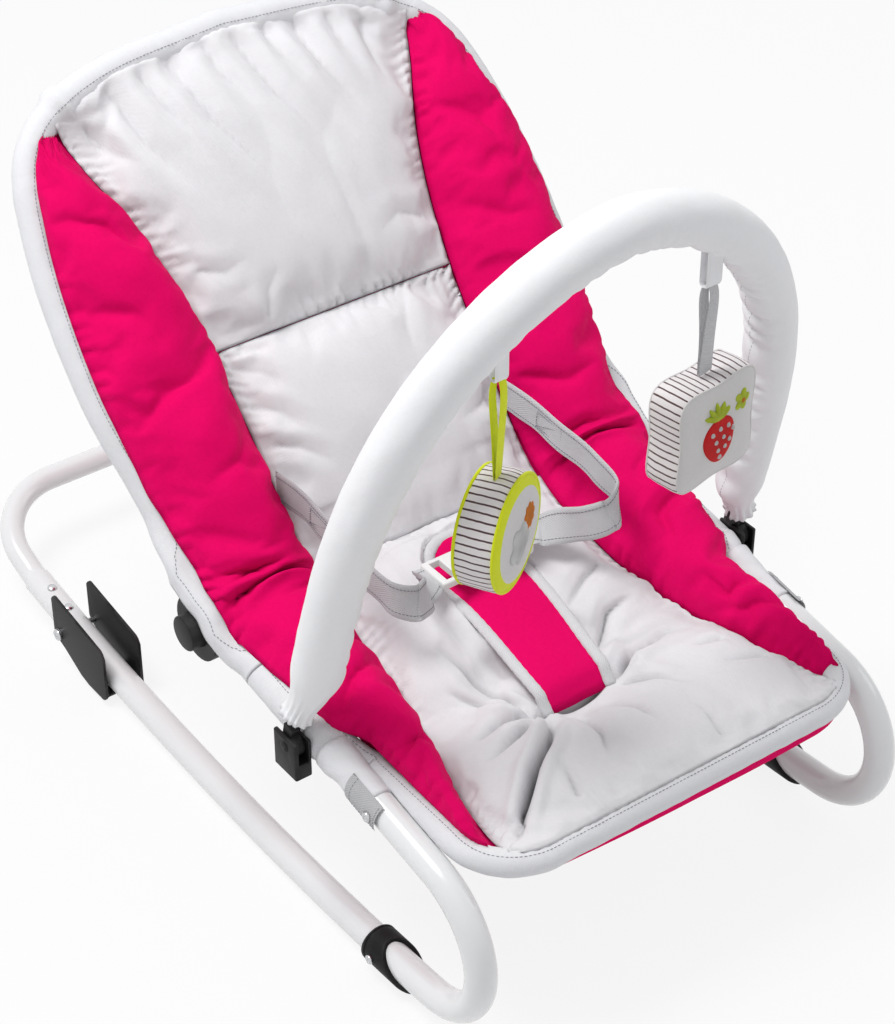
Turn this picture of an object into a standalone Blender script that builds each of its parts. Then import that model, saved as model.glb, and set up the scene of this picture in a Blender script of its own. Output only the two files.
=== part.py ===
"""Baby rocker with a tube frame, reclining backrest, padded cover, harness and toy bar.

Metres, +Z up. The seat faces -Y and "left" is the -X side. All places below are measured from the
point where the runners touch the floor; the empty rocker_origin then sets everything back, so that
the world origin lies on the floor under the middle of the rocker's length.
"""

import bpy
import bmesh
from math import asin, atan2, cos, exp, hypot, pi, radians, sin, sqrt, tan
from mathutils import Matrix, Vector

for old_object in list(bpy.data.objects):
    bpy.data.objects.remove(old_object, do_unlink=True)

# Frame tubes
TUBE_RADIUS = 0.0125
TUBE_SIDES = 12
HALF_TRACK = 0.200
ROCKER_RADIUS = 2.46
RUNNER_FRONT_Y = -0.255
RUNNER_REAR_Y = 0.356
RUNNER_FACETS = 8
HAIRPIN_RADIUS = 0.066
HINGE_Y = 0.030
HINGE_Z = 0.205
MID_Y = 0.0658
GAP = 0.0003

# Rear bar, pushed into the side tubes
REAR_BAR_RADIUS = TUBE_RADIUS - 0.0015
TUBE_WALL_BORE = REAR_BAR_RADIUS + 0.0004
REAR_BAR_SLOPE = 20.0
REAR_BAR_RUN = 0.025
REAR_BAR_CORNER = 0.068
SOCKET_DEPTH = 0.066

# Front rail inside the front hem
RAIL_RADIUS = 0.0070
RAIL_ABOVE_ARM = 0.0030
RAIL_FRONT_Y = -0.306
RAIL_END_Y = -0.135
RAIL_CORNER = 0.050
RAIL_SCREW_Y = -0.193
RAIL_EASE = 0.006

# Backrest tube, given as half width in shares of the half track and distance up the slope
BACK_ANGLE = 49.2
BACK_TUBE_RADIUS = 0.0095
BACK_TUBE_SHARES = [
    (0.9925, 0.044), (1.0850, 0.130), (1.1275, 0.210), (1.0925, 0.320),
    (0.9600, 0.398), (0.6000, 0.434), (0.0, 0.446),
]
BACK_TUBE_HALF = [(share * HALF_TRACK, up) for share, up in BACK_TUBE_SHARES]
BACK_TUBE_START = 0.0383

# Recline hinge, both sides
HOUSING_RADIUS = 0.028
HOUSING_INNER_X = HALF_TRACK + 0.0033
HOUSING_OUTER_X = HALF_TRACK + 0.0225
INNER_DISC_RADIUS = 0.025
INNER_DISC_INNER_X = HALF_TRACK - 0.0120
NECK_LENGTH = 0.0098
PIN_RADIUS = 0.0040
PIN_HEAD_RADIUS = PIN_RADIUS + 0.0035
PIN_HEAD_THICKNESS = 0.0025
BUTTON_RADIUS = 0.0150
BUTTON_PROUD = 0.0120
BUTTON_TRAVEL = 0.0050
RECESS_DEPTH = 0.0115

# Front shoes
SHOE_RADIUS = TUBE_RADIUS + 0.0038
SHOE_REAR_Y = -0.181
SHOE_FRONT_Y = -0.236
SHOE_CUT_LEAN = 48.0

# Flip-down rear feet
FOOT_PIVOT_Y = 0.283
FOOT_PIVOT_ABOVE_AXIS = 0.003
FOOT_INNER_HALF = TUBE_RADIUS + 0.0040
CHEEK_THICKNESS = 0.0026
FOOT_FRONT_Y = 0.204
FOOT_REAR_Y = 0.292
FOOT_FRONT_RISE = 0.0387
FOOT_TOP_RISE = 0.013
FOOT_HEEL_RISE = 0.020
FOOT_CORNER = 0.07
FOOT_CORNER_CUT = 0.006
FOOT_WEB_LENGTH = 0.034
FOOT_WEB_THICKNESS = 0.0026
FOOT_PIN_RADIUS = 0.0030

# Sewn hem sleeves
HEM_CLOTH = 0.0022
HEM_SLACK = 0.0005
HEM_SIDES = 8
HEM_RING = 0.0005
SIDE_HEM_REAR_Y = -0.012
SIDE_HEM_FRONT_Y = -0.126

# Pads of the cover
SEAT_SAG = 0.026
SEAT_CROWN = 0.036
SEAT_BOLSTER_CROWN = 0.046
BACK_CROWN = 0.020
BACK_BOLSTER_CROWN = 0.046
PAD_RIM = 0.006
SEAM_GAP = 0.0005
CROSS_SEAM = 0.196
FOLD_CLEARANCE = 0.010
BACK_START = 0.010
BOLSTER_START = 0.016
BOLSTER_TOP = 0.388
BACK_TOP_FROM = 0.36
BACK_HEM_START = 0.060
UNDERLAY_THICKNESS = 0.0015
UNDERLAY_TOP_CORNER = 0.37
UNDERLAY_CLEARANCE = 0.0013

# Toy bar and its clips
BAR_HEIGHT = 0.4147
BAR_LEAN = 13.8
BAR_BASE_Y = -0.107
BAR_FLARE = 0.0165
BAR_ROD_RADIUS = 0.0055
BAR_PAD_RADIUS = 0.0210
BAR_PAD_END_RADIUS = 0.0125
BAR_PAD_START = 0.012
BAR_PAD_SLACK = 0.0006
STEM_LENGTH = 0.0180
CLIP_PIVOT_ABOVE_ARM = 0.0023
BAR_FOOT_ABOVE_PIVOT = 0.0160
CLIP_INNER_X = HALF_TRACK + TUBE_RADIUS + 0.0032
CLIP_OUTER_X = CLIP_INNER_X + 0.0153
CLIP_SLOT = (CLIP_INNER_X + 0.0028, CLIP_INNER_X + 0.0118)
CLIP_HALF_DEPTH = 0.015
CLIP_BELOW_PIVOT = 0.026
CLIP_ABOVE_PIVOT = 0.0095
CLIP_PIN_RADIUS = 0.0030
CLIP_BOSS_RADIUS = 0.0042
CLIP_PIN_HEAD_RADIUS = 0.0046
KNUCKLE_RADIUS = 0.0105
BAR_HALF_WIDTH = sum(CLIP_SLOT) / 2 - BAR_FLARE
BAR_SHOULDER_POWER = 3.23
BAR_SIDE_POWER = 1.68

# Hanging toys
TOY_HALF = 0.045
TOY_HALF_THICKNESS = 0.021
ROUND_TOY_X = -0.100
ROUND_TOY_TAB = 0.0493
ROUND_TOY_HANG = 0.126
ROUND_TOY_TURN = 30.0
SQUARE_TOY_X = 0.088
SQUARE_TOY_TAB = 0.0501
SQUARE_TOY_HANG = 0.118
SQUARE_TOY_TURN = 8.8
TAPE_THICKNESS = 0.0020
SWING_GAP = 0.0004

# Harness
STRAP_WIDTH = 0.030
STRAP_THICKNESS = 0.0025
STRAP_ROOT_INSET = 0.0003
STRAP_ROOT_UP = 0.078
CROTCH_FRONT_Y = -0.178
CROTCH_REAR_Y = 0.004
CROTCH_HALF_FRONT = 0.0345
CROTCH_HALF_MID = 0.0410
CROTCH_THICKNESS = 0.009
BUCKLE_Y = -0.048
BUCKLE_REST_GAP = 0.0002
BUCKLE_SPLIT_X = -0.016
TONGUE_REACH = 0.050
TONGUE_HALF_DEPTH = 0.0165
TONGUE_HALF_THICKNESS = 0.0035
BLADE_TIP_X = 0.016
BLADE_HALF_DEPTH = 0.0080
BLADE_HALF_THICKNESS = 0.0020
HOUSING_REACH = 0.040
HOUSING_HALF_DEPTH = 0.0175
HOUSING_HALF_THICKNESS = 0.0055
PRONG_X = (-0.0036, 0.0121)
PRONG_HALF_THICKNESS = 0.0029
PRONG_PROUD = 0.0004
PRONG_TRAVEL = 0.0020

# Screws and rivets
SCREW_HEAD_RADIUS = 0.0045
SCREW_SHANK_RADIUS = 0.0020
RIVET_RADIUS = 0.0042
RIVET_THICKNESS = 0.0022
RIVET_STATIONS = (0.300, 0.329)

SIDES = (("left", -1), ("right", 1))


# Collections, origin and joint empties
rocker = bpy.data.collections.new("baby_rocker")
cutters = bpy.data.collections.new("baby_rocker_cutters")
bpy.context.scene.collection.children.link(rocker)
bpy.context.scene.collection.children.link(cutters)


def add_empty(name, place, parent=None):
    empty = bpy.data.objects.new(name, None)
    empty.location = place
    empty.parent = parent
    rocker.objects.link(empty)
    return empty


origin = add_empty("rocker_origin", (0, -MID_Y, 0))


# Materials
def finish(name, colour, roughness, metallic=0.0):
    material = bpy.data.materials.new(name)
    material.use_nodes = True
    shader = material.node_tree.nodes["Principled BSDF"]
    shader.inputs["Base Color"].default_value = (*colour, 1.0)
    shader.inputs["Roughness"].default_value = roughness
    shader.inputs["Metallic"].default_value = metallic
    material.diffuse_color = (*colour, 1.0)
    return material


FINISHES = {
    "white_tube": ((0.86, 0.86, 0.85), 0.35, 0.0),
    "black_plastic": ((0.02, 0.02, 0.02), 0.55, 0.0),
    "black_rubber": ((0.015, 0.015, 0.015), 0.8, 0.0),
    "chrome": ((0.75, 0.75, 0.76), 0.2, 1.0),
    "pink_cloth": ((0.85, 0.0, 0.14), 0.7, 0.0),
    "grey_cloth": ((0.72, 0.70, 0.72), 0.75, 0.0),
    "hem_cloth": ((0.66, 0.66, 0.68), 0.75, 0.0),
    "white_cloth": ((0.88, 0.88, 0.89), 0.7, 0.0),
    "strap_cloth": ((0.62, 0.62, 0.62), 0.8, 0.0),
    "white_plastic": ((0.9, 0.9, 0.9), 0.35, 0.0),
    "stripe_cloth": ((0.85, 0.80, 0.76), 0.8, 0.0),
    "lime_cloth": ((0.75, 0.82, 0.03), 0.7, 0.0),
}


# Building helpers
def add_piece(name, data, finish_name, body=origin):
    """Link one named piece, with its own material, and set its origin on its body's empty."""
    piece = bpy.data.objects.new(name, data)
    rocker.objects.link(piece)
    data.materials.clear()
    data.materials.append(finish(name + "_finish", *FINISHES[finish_name]))
    piece.parent = body
    if body is not origin:
        data.transform(Matrix.Translation(-body.location))
    return piece


def add_cutter(name, data):
    cutter = bpy.data.objects.new(name, data)
    cutters.objects.link(cutter)
    cutter.parent = origin
    cutter.hide_render = True
    cutter.display_type = "WIRE"
    return cutter


def boolean(piece, cutter, operation="DIFFERENCE"):
    step = piece.modifiers.new(operation.lower() + "_" + cutter.name, "BOOLEAN")
    step.operation = operation
    step.object = cutter
    step.solver = "EXACT"


def mesh_from(name, build):
    """A mesh made by one bmesh function, with its faces turned outward."""
    mesh = bpy.data.meshes.new(name)
    shape = bmesh.new()
    build(shape)
    bmesh.ops.recalc_face_normals(shape, faces=shape.faces)
    if shape.calc_volume(signed=True) < 0:
        bmesh.ops.reverse_faces(shape, faces=shape.faces)
    shape.to_mesh(mesh)
    shape.free()
    return mesh


def smooth_shading(mesh, angle=40.0):
    mesh.shade_smooth()
    mesh.set_sharp_from_angle(angle=radians(angle))


def block_mesh(name, low, high, edge=0.0):
    def build(shape):
        bmesh.ops.create_cube(shape, size=1.0)
        for vert in shape.verts:
            vert.co = [low[i] + (vert.co[i] + 0.5) * (high[i] - low[i]) for i in range(3)]
        if edge > 0:
            bmesh.ops.bevel(
                shape, geom=shape.edges[:], offset=edge, segments=2, affect="EDGES", profile=0.5
            )
    return mesh_from(name, build)


def rod_mesh(name, start, end, radius, sides=24, end_radius=None):
    """A round bar, or a cone where the end has a radius of its own."""
    start, end = Vector(start), Vector(end)
    turn = (end - start).to_track_quat("Z", "Y").to_matrix().to_4x4()

    def build(shape):
        bmesh.ops.create_cone(
            shape, cap_ends=True, segments=sides, radius1=radius,
            radius2=radius if end_radius is None else end_radius, depth=(end - start).length,
            matrix=Matrix.Translation((start + end) / 2) @ turn,
        )
    mesh = mesh_from(name, build)
    smooth_shading(mesh)
    return mesh


def tube_curve(name, path, radius, sides=12, point_radii=None, turn=0.0):
    """A bent tube as a poly curve with a round bevel and filled caps."""
    curve = bpy.data.curves.new(name, "CURVE")
    curve.dimensions = "3D"
    curve.bevel_depth = radius
    curve.bevel_resolution = (sides - 4) // 2
    curve.use_fill_caps = True
    spline = curve.splines.new("POLY")
    spline.points.add(len(path) - 1)
    for number, place in enumerate(path):
        spline.points[number].co = (*place, 1.0)
        spline.points[number].tilt = turn
        if point_radii:
            spline.points[number].radius = point_radii[number]
    spline.use_smooth = True
    return curve


def tube_mesh(name, path, radius, sides=12, point_radii=None, turn=0.0):
    """The same tube as a closed mesh, for pieces that are cut or joined."""
    curve = tube_curve(name + "_curve", path, radius, sides, point_radii, turn)
    holder = bpy.data.objects.new(name + "_curve", curve)
    bpy.context.scene.collection.objects.link(holder)
    bpy.context.view_layer.update()
    evaluated = holder.evaluated_get(bpy.context.evaluated_depsgraph_get())
    mesh = bpy.data.meshes.new_from_object(evaluated)
    mesh.name = name
    bpy.data.objects.remove(holder, do_unlink=True)
    shape = bmesh.new()
    shape.from_mesh(mesh)
    bmesh.ops.remove_doubles(shape, verts=shape.verts, dist=0.00001)
    shape.to_mesh(mesh)
    shape.free()
    smooth_shading(mesh)
    return mesh


def pad_mesh(name, surface, columns, rows):
    """A closed pad: a flat grid grown to a second layer, each point set by surface(u, v, upper)."""
    def build(shape):
        bmesh.ops.create_grid(shape, x_segments=columns, y_segments=rows, size=1.0)
        grown = bmesh.ops.extrude_face_region(shape, geom=shape.faces[:])
        upper = {item for item in grown["geom"] if isinstance(item, bmesh.types.BMVert)}
        for vert in shape.verts:
            u, v = (vert.co.x + 1) / 2, (vert.co.y + 1) / 2
            vert.co = surface(u, v, vert in upper)
    mesh = mesh_from(name, build)
    smooth_shading(mesh, 60.0)
    return mesh


def ribbon_mesh(name, places, acrosses, width, thickness):
    """Flat webbing along a path, its width along the given directions."""
    places = [Vector(place) for place in places]
    acrosses = [Vector(across).normalized() for across in acrosses]
    last = len(places) - 1

    def surface(u, v, upper):
        i = round(v * last)
        along = places[min(i + 1, last)] - places[max(i - 1, 0)]
        face = along.cross(acrosses[i]).normalized()
        lift = thickness * (0.5 if upper else -0.5)
        return places[i] + acrosses[i] * (u - 0.5) * width + face * lift
    return pad_mesh(name, surface, 1, last)


def smooth_path(points, steps):
    """A Catmull-Rom curve through the points."""
    points = [Vector(point) for point in points]
    ends = [2 * points[0] - points[1]] + points + [2 * points[-1] - points[-2]]
    path = []
    for i in range(1, len(ends) - 2):
        a, b, c, d = ends[i - 1:i + 3]
        for step in range(steps):
            t = step / steps
            path.append(
                0.5 * (2 * b + (c - a) * t + (2 * a - 5 * b + 4 * c - d) * t * t
                       + (3 * b - a - 3 * c + d) * t ** 3)
            )
    path.append(points[-1])
    return path


def even_path(path, count):
    """The same path with its points at even distances."""
    lengths = [0.0]
    for before, after in zip(path, path[1:]):
        lengths.append(lengths[-1] + (after - before).length)
    even = []
    span = 0
    for number in range(count):
        target = lengths[-1] * number / (count - 1)
        while span < len(path) - 2 and lengths[span + 1] < target:
            span += 1
        share = (target - lengths[span]) / (lengths[span + 1] - lengths[span])
        even.append(path[span].lerp(path[span + 1], share))
    return even


def smooth_step(low, high, value):
    t = min(max((value - low) / (high - low), 0.0), 1.0)
    return t * t * (3 - 2 * t)


# Side view of the frame: runner, hairpin bend and arm
def rise(y):
    """How far an arc of the rocking radius has risen at y from its lowest point."""
    return ROCKER_RADIUS - sqrt(ROCKER_RADIUS ** 2 - y * y)


# The runner is drawn in straight lengths. The one centred on y = 0 lies flat on the floor
runner_facet = (RUNNER_REAR_Y - RUNNER_FRONT_Y) / RUNNER_FACETS


def arc_height(y):
    return TUBE_RADIUS * cos(pi / TUBE_SIDES) + rise(y) - rise(runner_facet / 2)


runner_stations = [RUNNER_FRONT_Y]
for facet_number in range(-RUNNER_FACETS, RUNNER_FACETS):
    facet_y = runner_facet * (facet_number + 0.5)
    if RUNNER_FRONT_Y + runner_facet / 2 < facet_y < RUNNER_REAR_Y - runner_facet / 2:
        runner_stations.append(facet_y)
runner_stations.append(RUNNER_REAR_Y)


def runner_height(y):
    """Height of the drawn centre line, straight between its stations."""
    for before, after in zip(runner_stations, runner_stations[1:]):
        if y <= after:
            break
    share = (y - before) / (after - before)
    return arc_height(before) + (arc_height(after) - arc_height(before)) * share


def runner_point(side, y, up=0.0):
    return Vector((side * HALF_TRACK, y, runner_height(y) + up))


front_slope = asin(-RUNNER_FRONT_Y / ROCKER_RADIUS)
hairpin_centre = (
    RUNNER_FRONT_Y + HAIRPIN_RADIUS * sin(front_slope),
    runner_height(RUNNER_FRONT_Y) + HAIRPIN_RADIUS * cos(front_slope),
)
to_hinge = (HINGE_Y - hairpin_centre[0], HINGE_Z - hairpin_centre[1])
arm_tilt = atan2(to_hinge[1], to_hinge[0]) - asin(HAIRPIN_RADIUS / hypot(*to_hinge))
hinge = Vector((0, HINGE_Y, HINGE_Z))
arm_direction = Vector((0, cos(arm_tilt), sin(arm_tilt)))
arm_reach = HOUSING_RADIUS + NECK_LENGTH + GAP


def arm_height(y):
    return HINGE_Z + (y - HINGE_Y) * tan(arm_tilt)


rail_height = arm_height(RAIL_SCREW_Y) + RAIL_ABOVE_ARM


def side_tube_path(side):
    x = side * HALF_TRACK
    path = [runner_point(side, y) for y in reversed(runner_stations)]
    bend_steps = 10
    start, end = 3 * pi / 2 - front_slope, pi / 2 + arm_tilt
    for step in range(1, bend_steps + 1):
        angle = start + (end - start) * step / bend_steps
        path.append((
            x,
            hairpin_centre[0] + HAIRPIN_RADIUS * cos(angle),
            hairpin_centre[1] + HAIRPIN_RADIUS * sin(angle),
        ))
    path.append(tuple(Vector((x, 0, 0)) + hinge - arm_direction * arm_reach))
    return path


rear_direction = Vector((0, cos(radians(REAR_BAR_SLOPE)), sin(radians(REAR_BAR_SLOPE))))
foot_pivot = Vector((0, FOOT_PIVOT_Y, runner_height(FOOT_PIVOT_Y) + FOOT_PIVOT_ABOVE_AXIS))
runner_end = Vector((0, RUNNER_REAR_Y, runner_height(RUNNER_REAR_Y)))
last_length = runner_end - Vector((0, runner_stations[-2], runner_height(runner_stations[-2])))
runner_end_direction = last_length.normalized()

for side_name, side in SIDES:
    across = Vector((side * HALF_TRACK, 0, 0))
    tube = add_piece(
        "side_tube_" + side_name,
        tube_mesh("side_tube_" + side_name, side_tube_path(side), TUBE_RADIUS, TUBE_SIDES,
                  turn=pi / TUBE_SIDES),
        "white_tube",
    )
    mouth = across + runner_end
    boolean(tube, add_cutter("socket_" + side_name, rod_mesh(
        "socket_" + side_name, mouth - runner_end_direction * SOCKET_DEPTH,
        mouth + runner_end_direction * 0.01, TUBE_WALL_BORE,
    )))
    boolean(tube, add_cutter("foot_hole_" + side_name, rod_mesh(
        "foot_hole_" + side_name, foot_pivot + across * 0.8, foot_pivot + across * 1.2,
        FOOT_PIN_RADIUS + GAP, 16,
    )))
    screw_place = Vector((0, RAIL_SCREW_Y, (arm_height(RAIL_SCREW_Y) + rail_height) / 2))
    boolean(tube, add_cutter("rail_hole_" + side_name, rod_mesh(
        "rail_hole_" + side_name, screw_place + across * 0.8, screw_place + across * 1.2,
        SCREW_SHANK_RADIUS + GAP, 16,
    )))

# The rear bar: a U whose legs leave the side tubes and rise to the cross bar
left_mouth = Vector((-HALF_TRACK, 0, 0)) + runner_end
bar_path = [left_mouth - runner_end_direction * (SOCKET_DEPTH - 0.001)]
bar_path.append(left_mouth + runner_end_direction * 0.004)
corner_start = bar_path[-1] + rear_direction * REAR_BAR_RUN
corner_steps = 6
for step in range(corner_steps + 1):
    angle = pi / 2 * step / corner_steps
    bar_path.append(
        corner_start + rear_direction * REAR_BAR_CORNER * sin(angle)
        + Vector((REAR_BAR_CORNER * (1 - cos(angle)), 0, 0))
    )
bar_path += [Vector((-place.x, place.y, place.z)) for place in reversed(bar_path)]
add_piece("rear_bar", tube_curve("rear_bar", bar_path, REAR_BAR_RADIUS), "white_tube")

# Rivets that hold the rear bar in its sockets
rivet_up = Vector((0, -runner_end_direction.z, runner_end_direction.y))
for side_name, side in SIDES:
    for number, station in enumerate(RIVET_STATIONS, 1):
        seat = runner_point(side, station) + rivet_up * (TUBE_RADIUS + GAP)
        head_top = seat + rivet_up * RIVET_THICKNESS
        rivet = rod_mesh("rivet", seat, head_top, RIVET_RADIUS, 12, RIVET_RADIUS * 0.6)
        add_piece(f"rear_rivet_{side_name}_{number}", rivet, "chrome")

# The front rail: a flat U beside the arms, inside the front hem
rail_x = HALF_TRACK - TUBE_RADIUS - GAP - RAIL_RADIUS
rail_path = [Vector((-rail_x, RAIL_END_Y, rail_height))]
for step in range(7):
    angle = pi / 2 * step / 6
    rail_path.append(Vector((
        -rail_x + RAIL_CORNER * (1 - cos(angle)),
        RAIL_FRONT_Y + RAIL_CORNER - RAIL_CORNER * sin(angle),
        rail_height,
    )))
rail_path += [Vector((-place.x, place.y, place.z)) for place in reversed(rail_path)]
front_rail = add_piece("front_rail", tube_mesh("front_rail", rail_path, RAIL_RADIUS, 8), "white_tube")
for side_name, side in SIDES:
    across = Vector((side * rail_x, 0, 0))
    boolean(front_rail, add_cutter("rail_end_hole_" + side_name, rod_mesh(
        "rail_end_hole_" + side_name, screw_place + across * 0.9, screw_place + across * 1.1,
        SCREW_SHANK_RADIUS + GAP, 16,
    )))
    outer_x = side * (HALF_TRACK + TUBE_RADIUS)
    head_inner = screw_place + Vector((outer_x + side * GAP, 0, 0))
    screw = add_piece("rail_screw_" + side_name, rod_mesh(
        "rail_screw_" + side_name, head_inner, head_inner + Vector((side * 0.0026, 0, 0)),
        SCREW_HEAD_RADIUS, 16, SCREW_HEAD_RADIUS * 0.7,
    ), "chrome")
    boolean(screw, add_cutter("rail_shank_" + side_name, rod_mesh(
        "rail_shank_" + side_name, head_inner + Vector((side * 0.001, 0, 0)),
        screw_place + Vector((side * (rail_x - RAIL_RADIUS), 0, 0)), SCREW_SHANK_RADIUS, 12,
    )), "UNION")

# Front shoes: rubber sleeves on the runners, cut at a slant so that the sole reaches forward
for side_name, side in SIDES:
    shoe_ys = [SHOE_REAR_Y + (SHOE_FRONT_Y - SHOE_REAR_Y) * n / 3 for n in range(4)]
    shoe = add_piece("front_shoe_" + side_name, tube_mesh(
        "front_shoe_" + side_name, [runner_point(side, y) for y in shoe_ys], SHOE_RADIUS, 16,
    ), "black_rubber")
    bore_ys = [SHOE_REAR_Y + 0.02 + (SHOE_FRONT_Y - SHOE_REAR_Y - 0.04) * n / 5 for n in range(6)]
    boolean(shoe, add_cutter("shoe_bore_" + side_name, tube_mesh(
        "shoe_bore_" + side_name, [runner_point(side, y) for y in bore_ys], TUBE_RADIUS + 0.0006, 16,
    )))
    lean = radians(SHOE_CUT_LEAN)
    knife_foot = runner_point(side, SHOE_FRONT_Y, -SHOE_RADIUS)
    knife_mesh = block_mesh("shoe_knife_" + side_name, (-0.03, -0.08, -0.06), (0.03, 0.0, 0.06))
    knife_mesh.transform(Matrix.Translation(knife_foot) @ Matrix.Rotation(-lean, 4, "X"))
    boolean(shoe, add_cutter("shoe_knife_" + side_name, knife_mesh))
    screw_y = SHOE_REAR_Y - 0.013
    seat = runner_point(side, screw_y) + Vector((side * (TUBE_RADIUS + 0.0009), 0, 0))
    head = runner_point(side, screw_y) + Vector((side * (SHOE_RADIUS + GAP), 0, 0))
    boolean(shoe, add_cutter("shoe_hole_" + side_name, rod_mesh(
        "shoe_hole_" + side_name, seat - Vector((side * 0.002, 0, 0)), head + Vector((side * 0.004, 0, 0)),
        SCREW_SHANK_RADIUS + GAP, 16,
    )))
    screw = add_piece("shoe_screw_" + side_name, rod_mesh(
        "shoe_screw_" + side_name, head, head + Vector((side * 0.0020, 0, 0)), 0.0040, 16, 0.0028,
    ), "chrome")
    boolean(screw, add_cutter("shoe_shank_" + side_name, rod_mesh(
        "shoe_shank_" + side_name, seat, head + Vector((side * 0.001, 0, 0)), SCREW_SHANK_RADIUS, 12,
    )), "UNION")


# Rear feet: two cheeks beside the runner, joined by a web under it, turning on a cross pin
foot_web_top = runner_height(FOOT_FRONT_Y) - TUBE_RADIUS - 2 * GAP


def foot_outline(y):
    """Lowest and highest point of a cheek at y, with its corners rounded off."""
    share = (y - FOOT_FRONT_Y) / (FOOT_REAR_Y - FOOT_FRONT_Y)
    low = foot_web_top - FOOT_WEB_THICKNESS + FOOT_HEEL_RISE * smooth_step(0.35, 1.0, share)
    high = runner_height(FOOT_FRONT_Y) + FOOT_FRONT_RISE + FOOT_TOP_RISE * share
    corner = max(1 - share / FOOT_CORNER, 0.0) ** 2 + max(1 - (1 - share) / FOOT_CORNER, 0.0) ** 2
    return low + FOOT_CORNER_CUT * corner, high - FOOT_CORNER_CUT * corner


FOOT_SHARES = (0.0, 0.035, 0.07, 0.2, 0.35, 0.5, 0.65, 0.8, 0.93, 0.965, 1.0)

for side_name, side in SIDES:
    across = Vector((side * HALF_TRACK, 0, 0))
    foot_axis = add_empty("foot_axis_" + side_name, foot_pivot + across, origin)

    def cheek_mesh(name, inner, outer):
        def build(shape):
            lower, upper = [], []
            for share in FOOT_SHARES:
                y = FOOT_FRONT_Y + (FOOT_REAR_Y - FOOT_FRONT_Y) * share
                low, high = foot_outline(y)
                lower.append((y, low))
                upper.append((y, high))
            ring = lower + upper[::-1]
            face = shape.faces.new([shape.verts.new((inner, y, z)) for y, z in ring])
            grown = bmesh.ops.extrude_face_region(shape, geom=[face])
            for item in grown["geom"]:
                if isinstance(item, bmesh.types.BMVert):
                    item.co.x = outer
        return mesh_from(name, build)

    middle_x = side * HALF_TRACK
    outer_cheek = cheek_mesh(
        "rear_foot_" + side_name, middle_x + FOOT_INNER_HALF, middle_x + FOOT_INNER_HALF + CHEEK_THICKNESS)
    foot = add_piece("rear_foot_" + side_name, outer_cheek, "black_plastic", foot_axis)
    boolean(foot, add_cutter("foot_cheek_" + side_name, cheek_mesh(
        "foot_cheek_" + side_name, middle_x - FOOT_INNER_HALF - CHEEK_THICKNESS, middle_x - FOOT_INNER_HALF,
    )), "UNION")
    web_front = FOOT_FRONT_Y + FOOT_CORNER_CUT
    boolean(foot, add_cutter("foot_web_" + side_name, block_mesh(
        "foot_web_" + side_name,
        (middle_x - FOOT_INNER_HALF - CHEEK_THICKNESS / 2, web_front,
         foot_web_top - FOOT_WEB_THICKNESS + GAP),
        (middle_x + FOOT_INNER_HALF + CHEEK_THICKNESS / 2, web_front + FOOT_WEB_LENGTH, foot_web_top),
    )), "UNION")
    across = Vector((side * HALF_TRACK, 0, 0))
    boolean(foot, add_cutter("foot_bore_" + side_name, rod_mesh(
        "foot_bore_" + side_name, foot_pivot + across * 0.8, foot_pivot + across * 1.2,
        FOOT_PIN_RADIUS + GAP, 16,
    )))
    half_pin = FOOT_INNER_HALF + CHEEK_THICKNESS + GAP
    outward = Vector((side, 0, 0))
    pin = add_piece("foot_pin_" + side_name, rod_mesh(
        "foot_pin_" + side_name, foot_pivot + across - outward * (half_pin + 0.001),
        foot_pivot + across + outward * (half_pin + 0.001), FOOT_PIN_RADIUS, 16,
    ), "chrome")
    for end_name, reach in (("outer", 1), ("inner", -1)):
        seat = foot_pivot + across + outward * half_pin * reach
        boolean(pin, add_cutter(f"foot_pin_head_{end_name}_{side_name}", rod_mesh(
            f"foot_pin_head_{end_name}_{side_name}", seat, seat + outward * 0.0022 * reach,
            0.0055, 16, 0.0036,
        )), "UNION")

# Recline hinges: a housing on each arm, a disc on the backrest tube, a pin and a release button
backrest_axis = add_empty("backrest_axis", hinge, origin)
back_up = Vector((0, cos(radians(BACK_ANGLE)), sin(radians(BACK_ANGLE))))
back_out = Vector((0, -sin(radians(BACK_ANGLE)), cos(radians(BACK_ANGLE))))
back_tube_x = BACK_TUBE_HALF[0][0]


def lug_mesh(name, side, direction, reach, inner_x, outer_x, half_height):
    """A flat arm of a hinge disc, from the axis out along a direction."""
    mesh = block_mesh(name, (inner_x, 0.0, -half_height), (outer_x, reach, half_height))
    turn = Matrix.Rotation(atan2(direction.z, direction.y), 4, "X")
    mesh.transform(Matrix.Translation(hinge) @ turn)
    if side < 0:
        mesh.transform(Matrix.Scale(-1, 4, (1, 0, 0)))
        mesh.flip_normals()
    return mesh


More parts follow.
